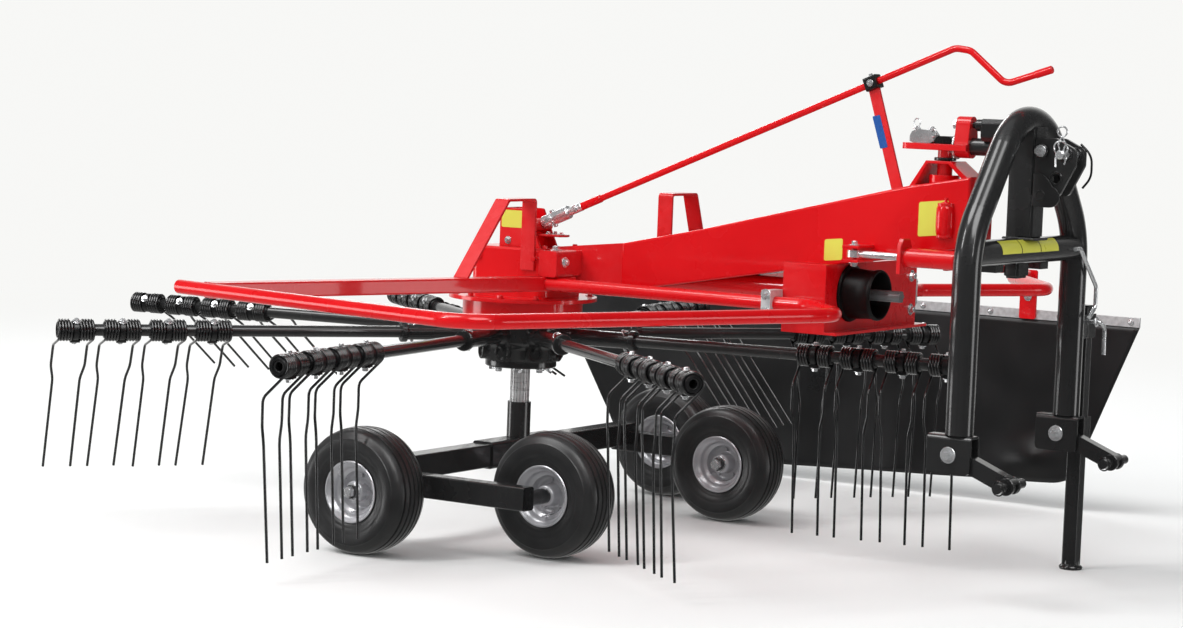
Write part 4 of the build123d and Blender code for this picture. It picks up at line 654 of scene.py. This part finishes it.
# Stickers: blank films on the bracket, the beam and the strut, and round the crossbar
FILM_LIFT = 0.5
FILM_T = 0.35
FILMS = [
    # name, look, side, then (ahead, height) of a corner and of its edges' far ends, rounding
    ("film_bracket", YELLOW, -BRACKET_HALF, (-56, 924), (36, 924), (-56, 978), 6.0),
    ("film_beam", YELLOW, -BEAM_HALF, (1103, 894), (1162, 900), (1103, 956), 6.0),
    ("film_nose", YELLOW, -BEAM_HALF, (1400, 982), (1492, 992), (1400, 1080), 6.0),
    ("film_strut", BLUE, -4, (1230, 1223), (1254, 1229), (1200, 1315), 3.0),
]
CROSSBAR_FILMS = [(-214, -90), (-84, 36), (42, 160)]
CROSSBAR_FILM_RADII = (36.0, 37.6)
CROSSBAR_FILM_STEPS = 12
for name, look, y, corner, right_end, top_end, soft in FILMS:
    corner, right_end, top_end = (at(x, y, z) for x, z in (corner, right_end, top_end))
    right, up = right_end - corner, top_end - corner
    width, height = right.length, up.length
    outline = []
    for a, b, start in ((width - soft, height - soft, 0), (soft, height - soft, 90),
                        (soft, soft, 180), (width - soft, soft, 270)):
        outline += arc((a, b), soft, start, start + 90, 5)
    sticker = Shape()
    sticker.slab(outline, corner + right.cross(up).normalized() * FILM_LIFT, right, up, FILM_T)
    sticker.make(name, look, "frame")
for number, ends in enumerate(CROSSBAR_FILMS):
    sticker = Shape()
    rows = [arc((HEAD_AHEAD, CROSSBAR_Z), radius, -4, 62, CROSSBAR_FILM_STEPS)
            for radius in CROSSBAR_FILM_RADII]
    for k in range(CROSSBAR_FILM_STEPS):
        corners = [at(x, y, z) for row in rows for y in ends for x, z in row[k:k + 2]]
        sticker.add(corners, [(4, 5, 7, 6), (0, 1, 5, 4), (2, 6, 7, 3)])
    sticker.make(f"film_crossbar_{number}", YELLOW, "headstock")

# Post: its foot stands behind the crossbar, so the bar runs through in front
POST_HALF = 40.0
POST_LOW, POST_STEP, POST_TOP = 880.0, 992.0, 1312.0
POST_FOOT_FRONT = 4.0
post = Shape()
post.slab([(-POST_HALF, POST_LOW), (POST_FOOT_FRONT, POST_LOW), (POST_FOOT_FRONT, POST_STEP),
           (POST_HALF, POST_STEP), (POST_HALF, POST_TOP), (-POST_HALF, POST_TOP)],
          at(HEAD_AHEAD, POST_HALF, 0), X, Z, 2 * POST_HALF)
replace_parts(post.make("centre_post_look", BLACK, "headstock", bevel=7, steps=3), "centre_post")
foot_plate = Shape()
foot_plate.slab([(-46, -48), (52, -48), (52, 48), (-46, 48)], at(HEAD_AHEAD, 0, 989), X, Y, 8)
foot_plate.make("post_foot_plate", BLACK, "headstock", bevel=2)

# Swivel: red cap beside the nose, lock and block on the lever, collar, rod ends and their block
NOSE_CAP = [(0, 6), (2, 16), (8, 23), (18, 26.5), (34, 27.5), (70, 27.5), (86, 26.5), (96, 22),
            (102, 14), (105, 7), (106, 5), (116, 5), (117, 3)]
LOCK = [(-38, 1250), (-26, 1246), (26, 1246), (38, 1252), (38, 1270), (28, 1282), (-14, 1286),
        (-32, 1278), (-38, 1266)]
LEVER_BLOCK = [(-26, 1246), (26, 1246), (26, 1262), (20, 1268), (-18, 1268), (-26, 1258)]
ROD_BLOCK = [(-44, 1270), (-34, 1258), (34, 1258), (44, 1270), (46, 1310), (36, 1322), (-36, 1322),
             (-46, 1310)]
cap = Shape()
cap.lathe(at(1484, -BEAM_HALF, 980), Z, NOSE_CAP, 40)
cap.make("nose_cap", RED, "frame", crease=50)
lock = Shape()
lock.slab(LOCK, at(1368, 20, 0), X, Z, 40)
for x in (1342, 1390):
    lock.rod(at(x, 0, 1240), at(x, 0, 1294), 7, 16, edge=1.2)
    lock.rod(at(x, 0, 1284), at(x, 0, 1289), 12, edge=1)
lock.loop(at(1342, 0, 1302), (0.4, 1, 0), 13, 2.2)
lock.loop(at(1404, -20, 1276), (0.3, 1, 0), 11, 2, 24)
lock.make("lever_lock", ZINC, "headstock", bevel=1.5)
lever_block = Shape()
lever_block.slab(LEVER_BLOCK, at(1438, 27, 0), X, Z, 54)
lever_block.make("lever_block", PLASTIC, "headstock", bevel=2)
swivel_collar = Shape()
swivel_collar.collar(at(SWIVEL_AHEAD, 0, 1198.6), Z, 0, 9, 21, 32, 1.5, 2, 40)
swivel_collar.make("swivel_collar", BLACK, "headstock")
knuckle_bolts = Shape()
for z, size in ((1242, 40), (ROD_Z, 24)):
    knuckle_bolts.bolt(at(1476, 0, z), -X, size)
knuckle_bolts.make("knuckle_bolts", ZINC, "headstock", bevel=0.5)
rod_block = Shape()
rod_block.slab(ROD_BLOCK, at(1562, 0, 0), Y, Z, 62)
rod_block.rod(at(1530, 0, ROD_Z), at(1562, 0, ROD_Z), 17, 28, edge=2)
rod_block.make("rod_block", BLACK, "headstock", bevel=3)

# Hose plate on the post, with a rimmed eye; the plate is not cut through, and a near-black disc of
# painted shade stands for its hole
HOSE_PLATE_Y = -39.0
HOSE_PLATE_T = 7.0
hose_hole = at(1752, HOSE_PLATE_Y - HOSE_PLATE_T, 1116)
hose_plate = Shape()
hose_plate.slab([(0, 1086), (34, 1084)] + arc((50, 1114), 30, -90, 70, 10)
                + [(40, 1168), (24, 1178), (0, 1178)],
                at(1730, HOSE_PLATE_Y, 0), X, Z, HOSE_PLATE_T)
hose_plate.make("hose_plate", BLACK, "headstock", bevel=1.2)
hose_eye = Shape()
hose_eye.ring(hose_hole - Y * 0.4, Y, [(-0.8, 10), (-0.8, 15), (0.4, 16), (0.4, 10)], 32)
hose_eye.make("hose_plate_eye", BLACK, "headstock")
# A near-black disc inside the eye: painted shade for the hole
hose_hole_shade = Shape()
hose_hole_shade.lathe(hose_hole - Y * 0.2, -Y, [(0, 10.5), (0.3, 10.5), (0.3, 0.0)], 28)
hose_hole_shade.make("hose_plate_hole_shade", HOLE_SHADE, "headstock")

# Ears: pin end with its ring and hairpin, bosses, bolts, and the keeper cable
EAR_BOLT_Z = 1240.0
EAR_BOLT_HALF = 56.0
EAR_Y = 32.0
HAIRPIN_R = 2.2
HAIRPIN_BENDS = (8, 8, 8)
HAIRPIN_LEGS = [
    # from the ear's pin: ahead, side, height
    [(4, -76, 1282), (16, -76, 1262), (8, -77, 1246), (20, -78, 1226), (14, -78, 1206)],
    [(4, -78, 1282), (-8, -78, 1262), (0, -79, 1246), (-12, -80, 1226), (-10, -80, 1198)],
]
KEEPER = [(10, 40, 1262), (42, 46, 1232), (44, 44, 1170), (20, 42, 1140)]
fittings = Shape()
fittings.rod(at(EAR_AHEAD, -84, EAR_Z), at(EAR_AHEAD, -64, EAR_Z), 12.2, 28, edge=2.5)
fittings.loop(at(EAR_AHEAD, -74, 1250), (0, 1, 0.2), 20, 2.2, 32)
for leg in HAIRPIN_LEGS:
    corners = [at(EAR_AHEAD + x, y, z) for x, y, z in leg]
    fittings.wire(rounded_route(corners, HAIRPIN_BENDS), HAIRPIN_R)
fittings.loop(at(EAR_AHEAD + 4, -77, 1296), Y, 14, 2.4, 32)
fittings.make("top_pin_fittings", ZINC, "headstock")
bosses = Shape()
bosses.rod(at(EAR_BOLT_AHEAD, -EAR_BOLT_HALF, EAR_BOLT_Z),
           at(EAR_BOLT_AHEAD, EAR_BOLT_HALF, EAR_BOLT_Z), 20, 32, edge=3)
bosses.rod(at(EAR_AHEAD, 38, EAR_Z), at(EAR_AHEAD, 70, EAR_Z), 18, 28, edge=3)
for side in SIDES:
    bosses.collar(at(EAR_AHEAD, side * EAR_Y, EAR_Z), Y, -9, 9, 13.2, 21.5, 1.5, 1.5, 40)
    bosses.collar(at(EAR_AHEAD - 26, side * EAR_Y, 1165), Y, -8, 8, 13.2, 20, 1, 1, 40)
bosses.make("ear_bosses", BLACK, "headstock", bevel=0.6)
ear_bolts = Shape()
for side in SIDES:
    ear_bolts.bolt(at(EAR_BOLT_AHEAD, side * EAR_BOLT_HALF, EAR_BOLT_Z), Y * side, 17)
ear_bolts.make("ear_bolts", ZINC, "headstock")
keeper = Shape()
keeper.wire(rounded_route([at(EAR_AHEAD + x, y, z) for x, y, z in KEEPER], (24, 20)), 3.2)
keeper.make("pin_keeper", PLASTIC, "headstock")

# Hitch: bolts through the brackets, and collars and a ring on each link's cross pin
LINK_LENGTH = 185.0
LINK_DROP = math.radians(22)
BRACKET_FACE = 28.5
hitch_bolts = Shape()
for side in SIDES:
    for face in SIDES:
        seat = at(HITCH_AHEAD, side * HITCH_Y + face * BRACKET_FACE, HITCH_Z)
        hitch_bolts.bolt(seat, Y * face, 24)
hitch_bolts.make("hitch_bolts", ZINC, "headstock", bevel=0.5)
for side_name, side in NAMED_SIDES:
    link_end = at(HITCH_AHEAD + LINK_LENGTH * math.cos(LINK_DROP), side * HITCH_Y,
                  HITCH_Z - LINK_LENGTH * math.sin(LINK_DROP))
    collars = Shape()
    for face in SIDES:
        collars.rod(link_end + Y * face * 19, link_end + Y * face * 26, 24, 32, edge=1.5)
    collars.loop(link_end - Y * 70, (0.2, 1, 0), 19, 2.2, 32)
    collars.make(f"link_collars_{side_name}", BLACK, f"lower_link_{side_name}")

# Parking stand: locking pin with a bent handle, plug on top, round foot
STAND_PIN_RUN = [(20, 0, 0), (56, 0, 0), (56, 28, -16), (56, 32, -98)]
STAND_TOP = 780.0
PLUG_HALF = 21.5
PLUG_T = 5.0
pin_place = at(HEAD_AHEAD, STAND_Y, STAND_PIN_Z)
stand_pin = Shape()
stand_pin.wire(rounded_route([pin_place + Vector(p) for p in STAND_PIN_RUN], (14, 14)), 6, 12)
stand_pin.rod(pin_place - X * 44, pin_place + X * 36, 7, 16, edge=1.5)
stand_pin.loop(pin_place + X * 42, X, 13, 2.2)
stand_pin.make("stand_pin", ZINC, "headstock")
plug = Shape()
plug.slab([(-PLUG_HALF, -PLUG_HALF), (PLUG_HALF, -PLUG_HALF), (PLUG_HALF, PLUG_HALF),
           (-PLUG_HALF, PLUG_HALF)], at(HEAD_AHEAD, STAND_Y, STAND_TOP), X, Y, PLUG_T)
plug.make("stand_plug", PLASTIC, "stand", bevel=1.5)
stand_foot = Shape()
stand_foot.ring(at(HEAD_AHEAD, STAND_Y, 0), Z, [
    (0.5, 10), (0.5, 33), (4, 35), (8, 35), (12, 31), (15, 24), (26, 23.5), (26, 10)], 48)
stand_foot.make("stand_foot", BLACK, "stand", crease=50)

# Dampers: red clamp and cover on each tube, bolts above and below the lugs
DAMPER_CLAMP = [(-34, -48), (34, -48), (34, 30), (20, 52), (-20, 52), (-34, 30)]
LUG_HALF = 24.0
for side_name, side in NAMED_SIDES:
    y = side * DAMPER_Y
    clamp = Shape()
    clamp.slab(DAMPER_CLAMP, at(1388, y, DAMPER_Z), Y, Z, 14)
    clamp.rod(at(1402, y, DAMPER_Z), at(1562, y, DAMPER_Z), 27, 36, edge=2)
    clamp.make(f"damper_clamp_{side_name}", RED, f"damper_tube_{side_name}", bevel=1.5)
for name, x, body in (("rear", 1237, "frame"), ("front", 1620, "headstock")):
    lug_bolts = Shape()
    for side in SIDES:
        for way in (Z, -Z):
            lug_bolts.bolt(at(x, side * DAMPER_Y, DAMPER_Z) + way * LUG_HALF, way, 17)
    lug_bolts.make(f"{name}_lug_bolts", ZINC, body)

# Guards: bolts in the clip, the plate, the sockets, the hangers and the housing; a near-black disc
# of painted shade in the open tube end
guard_bolts = Shape()
for z in (742, 794):
    guard_bolts.bolt(at(995, -222, z), -Y, 17)
for x in (1098, 1140):
    for z in (753, 817):
        guard_bolts.bolt(at(x, 440, z), Y, 11)
for x, y in ((222, -156), (525, 176)):
    guard_bolts.bolt(at(x, y, 870), Z, 19)
    guard_bolts.bolt(at(x + 33, y, 836), X, 17)
for x, z in ((291, 735), (291, 700), (1028, 760), (1028, 715)):
    guard_bolts.bolt(at(x, 1528, z), -Y, 15)
for z in (706, 790):
    guard_bolts.bolt(at(1040, 430, z), Y, 15)
guard_bolts.bolt(at(1040, -BEAM_HALF, 858), -Y, 17)
guard_bolts.make("guard_bolts", ZINC, "frame", bevel=0.4)
tail = at(-300, -1275, 768)
tail_dir = (at(860, -1515, 768) - tail).normalized()
# Near-black disc at the tube's end: painted shade for its open inside
tail_end_shade = Shape()
tail_end_shade.lathe(tail - tail_dir * 0.4, tail_dir, [(0, 17), (0.3, 17), (0.3, 0.0)])
tail_end_shade.make("guard_end_shade", HOLE_SHADE, "frame")

# Power take-off: splined stub on its shoulder in steel darkened as painted shade from the bell,
# ribbed bell, bolts at the housing's far side
SPLINES = 6
SPLINE_FORM = [(-20, 14.4), (-13, 14.4), (-11, 17.4), (0, 17.45), (11, 17.4), (13, 14.4),
               (20, 14.4)]
BELL_PROFILE = [(0, 66), (0, 82), (4, 84), (9, 82), (12, 74), (60, 71), (84, 71), (88, 74),
                (96, 74), (100, 72), (100, 68), (96, 66)]
outline = []
for k in range(SPLINES):
    for degrees, radius in SPLINE_FORM:
        turn = math.radians(360 / SPLINES * k + degrees)
        outline.append((radius * math.cos(turn), radius * math.sin(turn)))
stub = Shape()
stub.slab(outline, at(1172, 0, PTO_Z), Y, Z, 146)
stub.lathe(at(1018, 0, PTO_Z), X, [(0, 24), (148, 24), (152, 22), (154, 17), (156, 14)], 40)
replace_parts(stub.make("pto_stub_look", STUB_SHADE_STEEL, "frame", bevel=0.5, crease=25), "pto_shaft")
bell = Shape()
bell.ring(at(PTO_FACE, 0, PTO_Z), X, BELL_PROFILE, 72)
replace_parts(bell.make("pto_bell_look", BELL, "frame", crease=40), "pto_guard")
bell_bolts = Shape()
for z in (734, 836):
    bell_bolts.bolt(at(PTO_FACE, 396, z), X, 19)
bell_bolts.make("bell_bolts", ZINC, "frame")

# Wheel arms: plugs in the tube ends and bolts where the axle meets them
WHEEL_ARM_Y, WHEEL_ARM_Z = 682.0, 193.0
WHEEL_ARM_FACE = 707.0
TUBE_PLUG = [(-23, -32), (23, -32), (23, 32), (-23, 32)]
plugs = Shape()
axle_bolts = Shape()
for side in SIDES:
    for x, depth in ((-67, -4), (507, 4)):
        plugs.slab(TUBE_PLUG, at(x, side * WHEEL_ARM_Y, WHEEL_ARM_Z), Y, Z, depth)
    for z in (176, 212):
        axle_bolts.bolt(at(0, side * WHEEL_ARM_FACE, z), Y * side, 17)
plugs.make("arm_plugs", PLASTIC, "frame", bevel=1.5)
axle_bolts.make("axle_bolts", ZINC, "frame")

# Curtain: one hanging sheet with soft folds, rounded lower corners and a bulge, on the bar
REAR_TOP, REAR_LOW, REAR_LOW_Z = -930.0, -590.0, 14.0
FRONT_TOP, FRONT_LOW, FRONT_LOW_Z = 1430.0, 1235.0, 95.0
CURTAIN_TOP_Z = 640.0
CURTAIN_T = 4.0
CORNER_SHARE = 0.05
CORNER_RISE = 60.0
# Folds as depth, waves along the sheet, lean with the fall, start
FOLDS = [(3.2, 23.0, 1.2, 0.0), (2.4, 9.5, -2.0, 0.7)]
RIPPLE_DEPTH, RIPPLE_WAVES, RIPPLE_LEAN = 2.2, 61.0, 5.0
FOLD_SHARE, FOLD_POWER = 0.9, 0.8
# The bulge's depth, then its middle and spread along the sheet and down it
BULGE = 38.0
BULGE_ALONG, BULGE_LENGTH = 0.9, 0.055
BULGE_FALL, BULGE_HEIGHT = 0.86, 0.12
COLUMNS, ROWS = 120, 32
RIVETS = 10
RIVET_START, RIVET_SPAN = -900.0, 2300.0
RIVET_Z = 656.0


def between(first, last, share):
    """The value at a share of the way from one value to another."""
    return first + (last - first) * share


def curtain_point(along, fall):
    """A point of the sheet, from rear to front and from the bar down, both from 0 to 1."""
    low_z = between(REAR_LOW_Z, FRONT_LOW_Z, along)
    near = min(along, 1 - along) / CORNER_SHARE
    if near < 1:
        low_z += CORNER_RISE * (1 - math.sqrt(1 - (1 - near) ** 2))
    x = between(between(REAR_TOP, REAR_LOW, fall), between(FRONT_TOP, FRONT_LOW, fall), along)
    wave = sum(depth * math.sin(along * waves + fall * lean + start)
               for depth, waves, lean, start in FOLDS)
    wave += RIPPLE_DEPTH * math.sin(along * RIPPLE_WAVES + fall * RIPPLE_LEAN) * fall ** 2
    bulge = BULGE * math.exp(-((along - BULGE_ALONG) / BULGE_LENGTH) ** 2
                             - ((fall - BULGE_FALL) / BULGE_HEIGHT) ** 2)
    y = CURTAIN_Y + wave * fall ** FOLD_POWER * FOLD_SHARE - bulge
    return at(x, y, between(CURTAIN_TOP_Z, low_z, fall))


faces = []
for row in range(ROWS):
    for column in range(COLUMNS):
        a = row * (COLUMNS + 1) + column
        faces.append((a, a + 1, a + COLUMNS + 2, a + COLUMNS + 1))
sheet = Shape()
sheet.add([curtain_point(column / COLUMNS, row / ROWS)
           for row in range(ROWS + 1) for column in range(COLUMNS + 1)], faces)
cloth = sheet.make("curtain_sheet", SHEET, "frame", crease=80)
thick = cloth.modifiers.new("thickness", "SOLIDIFY")
thick.thickness = CURTAIN_T * MM
thick.offset = 0.0
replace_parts(cloth, "curtain")
rivets = Shape()
for k in range(RIVETS):
    x = RIVET_START + RIVET_SPAN * k / (RIVETS - 1)
    rivets.lathe(at(x, CURTAIN_Y - 4, RIVET_Z), -Y,
                 [(0, 11), (1.5, 11), (2, 8), (4, 7), (5.5, 4), (6, 0.0)], 20)
    rivets.lathe(at(x, CURTAIN_Y + 4, RIVET_Z), Y,
                 [(0, 9), (1.5, 9), (3.5, 6), (4.5, 3), (5, 0.0)], 20)
held_by = rivets.make("curtain_rivets", ZINC, "frame")

# Camera: its place and axes in metres, and its focal length in pixels of the photograph
CAMERA_PLACE = (4.787891, -7.304817, 1.378570)
CAMERA_RIGHT = (0.837685, 0.544884, 0.037222)
CAMERA_UP = (-0.075331, 0.047773, 0.996014)
CAMERA_BACK = (0.540934, -0.837149, 0.081065)
FOCAL_PIXELS = 2827.44
IMAGE_WIDTH = 1183
SENSOR = 36.0
eye = bpy.data.cameras.new("camera")
eye.sensor_width = SENSOR
eye.lens = SENSOR * FOCAL_PIXELS / IMAGE_WIDTH
eye.clip_end = 200.0
camera = bpy.data.objects.new("camera", eye)
columns = zip(CAMERA_RIGHT, CAMERA_UP, CAMERA_BACK, CAMERA_PLACE)
camera.matrix_world = Matrix((*columns, (0, 0, 0, 1)))
bpy.context.scene.collection.objects.link(camera)
bpy.context.scene.camera = camera

# Floor: pale, and away from the object it runs out into the backdrop's colour
PALE = (0.935, 0.935, 0.92)
FLOOR_TINT = (0.87, 0.87, 0.86)
FLOOR_HALF = 60.0
FADE_START = 3.2
FADE_END = 9.0
floor_mesh = bpy.data.meshes.new("floor")
floor_mesh.from_pydata([(-FLOOR_HALF, -FLOOR_HALF, 0), (FLOOR_HALF, -FLOOR_HALF, 0),
                        (FLOOR_HALF, FLOOR_HALF, 0), (-FLOOR_HALF, FLOOR_HALF, 0)],
                       [], [(0, 1, 2, 3)])
floor = bpy.data.objects.new("floor", floor_mesh)
bpy.context.scene.collection.objects.link(floor)
floor_look = bpy.data.materials.new("pale_floor")
floor_look.use_nodes = True
tree = floor_look.node_tree
floor_shader = tree.nodes["Principled BSDF"]
floor_shader.inputs["Base Color"].default_value = (*FLOOR_TINT, 1)
floor_shader.inputs["Roughness"].default_value = 0.9
floor_shader.inputs["Specular IOR Level"].default_value = 0.05
far_look = add_node(tree, "ShaderNodeEmission", {"Color": (*PALE, 1)})
spot = add_node(tree, "ShaderNodeNewGeometry").outputs["Position"]
from_middle = add_node(tree, "ShaderNodeVectorMath", sources={0: spot}, operation="LENGTH")
fade = add_node(tree, "ShaderNodeMapRange", {"From Min": FADE_START, "From Max": FADE_END},
                {"Value": from_middle.outputs["Value"]}, interpolation_type="SMOOTHSTEP")
ray = add_node(tree, "ShaderNodeLightPath")
shown = add_node(tree, "ShaderNodeMath", operation="MULTIPLY",
                 sources={0: fade.outputs["Result"], 1: ray.outputs["Is Camera Ray"]})
joined = add_node(tree, "ShaderNodeMixShader", sources={
    0: shown.outputs[0], 1: floor_shader.outputs[0], 2: far_look.outputs[0]})
tree.links.new(joined.outputs[0], tree.nodes["Material Output"].inputs["Surface"])
floor_mesh.materials.append(floor_look)
floor.visible_glossy = False

# World: soft light, a room that only gloss mirrors, and the pale backdrop behind everything
SKY_DIM, SKY_BRIGHT = (0.3, 0.31, 0.32), (0.84, 0.85, 0.86)
ROOM_DARK, ROOM_BELOW, ROOM_ABOVE = (0.07,) * 3, (0.4, 0.4, 0.39), (0.5,) * 3
PANELS = [
    # direction, cosines where the panel starts and is full, level
    ((-0.9, -0.43, -0.02), 0.972, 0.99, 5.0),
    ((0.95, 0.3, -0.02), 0.975, 0.99, 3.5),
    ((0.5, -0.45, 0.74), 0.93, 0.965, 7.0),
]
world = bpy.data.worlds.new("studio")
bpy.context.scene.world = world
world.use_nodes = True
tree = world.node_tree


def toward(direction, low, high):
    """How far a direction of the world points to one side, from 0 to 1 between two cosines."""
    looking = add_node(tree, "ShaderNodeTexCoord").outputs["Generated"]
    along = add_node(tree, "ShaderNodeVectorMath", {1: Vector(direction).normalized()},
                     {0: looking}, operation="DOT_PRODUCT")
    share = add_node(tree, "ShaderNodeMapRange", {"From Min": low, "From Max": high},
                     {"Value": along.outputs["Value"]}, interpolation_type="SMOOTHSTEP")
    return share.outputs["Result"]


def blended(share, first, second):
    """Mix a world colour or an earlier mix with a second colour, by a share."""
    mix = add_node(tree, "ShaderNodeMix", {MIX_SECOND: (*second, 1)}, {MIX_SHARE: share},
                   data_type="RGBA")
    if isinstance(first, tuple):
        mix.inputs[MIX_FIRST].default_value = (*first, 1)
    else:
        tree.links.new(first, mix.inputs[MIX_FIRST])
    return mix.outputs[MIX_RESULT]


# The soft light comes more from the left, so faces to the front stay in shade
sky = tree.nodes["Background"]
sky_colour = blended(toward((-0.7, -0.6, 0.5), -0.7, 0.8), SKY_DIM, SKY_BRIGHT)
tree.links.new(sky_colour, sky.inputs["Color"])
backdrop = add_node(tree, "ShaderNodeBackground", {"Color": (*PALE, 1)})
# The room is dark, with the backdrop behind, a paler floor and ceiling, and bright panels
room_colour = blended(toward((-0.54, 0.84, 0.0), 0.55, 0.95), ROOM_DARK, PALE)
room_colour = blended(toward((0, 0, -1), 0.3, 0.95), room_colour, ROOM_BELOW)
room_colour = blended(toward((-0.15, -0.2, 1), 0.8, 0.9), room_colour, ROOM_ABOVE)
for direction, low, high, level in PANELS:
    room_colour = blended(toward(direction, low, high), room_colour, (level,) * 3)
room = add_node(tree, "ShaderNodeBackground", sources={"Color": room_colour})
path = add_node(tree, "ShaderNodeLightPath")
mirrored = add_node(tree, "ShaderNodeMixShader", sources={
    0: path.outputs["Is Glossy Ray"], 1: sky.outputs[0], 2: room.outputs[0]})
direct = add_node(tree, "ShaderNodeMath", operation="MAXIMUM", sources={
    0: path.outputs["Is Camera Ray"], 1: path.outputs["Is Transmission Ray"]})
seen = add_node(tree, "ShaderNodeMixShader", sources={
    0: direct.outputs[0], 1: mirrored.outputs[0], 2: backdrop.outputs[0]})
tree.links.new(seen.outputs[0], tree.nodes["World Output"].inputs["Surface"])

# Lamps
SUN_STRENGTH = 1.35
SUN_ANGLE = 28.0
SUN_DIRECTION = (0.4, 0.5, -1.0)
LIGHTS = [
    # name, place, aim, width, height, watts
    ("left_strip", (-2.6, -5.4, 4.4), (0.2, 0.0, 0.8), 0.5, 2.4, 105),
    ("right_strip", (6.8, -3.4, 3.2), (1.0, 0.0, 0.8), 0.25, 2.6, 34),
    ("back_strip", (-4.0, 4.4, 4.0), (0.0, 0.0, 0.8), 3.0, 0.6, 60),
]


def hang(lamp, direction, place=(0, 0, 0)):
    """Put a lamp in the scene, shining along a direction."""
    light = bpy.data.objects.new(lamp.name, lamp)
    light.location = place
    light.rotation_euler = Vector(direction).to_track_quat("-Z", "Y").to_euler()
    bpy.context.scene.collection.objects.link(light)


sun = bpy.data.lights.new("sun", "SUN")
sun.energy = SUN_STRENGTH
sun.angle = math.radians(SUN_ANGLE)
hang(sun, SUN_DIRECTION)
for name, place, aim, width, height, watts in LIGHTS:
    lamp = bpy.data.lights.new(name, "AREA")
    lamp.shape = "RECTANGLE"
    lamp.size = width
    lamp.size_y = height
    lamp.energy = watts
    hang(lamp, Vector(aim) - Vector(place), place)
bpy.context.scene.view_settings.view_transform = "Standard"
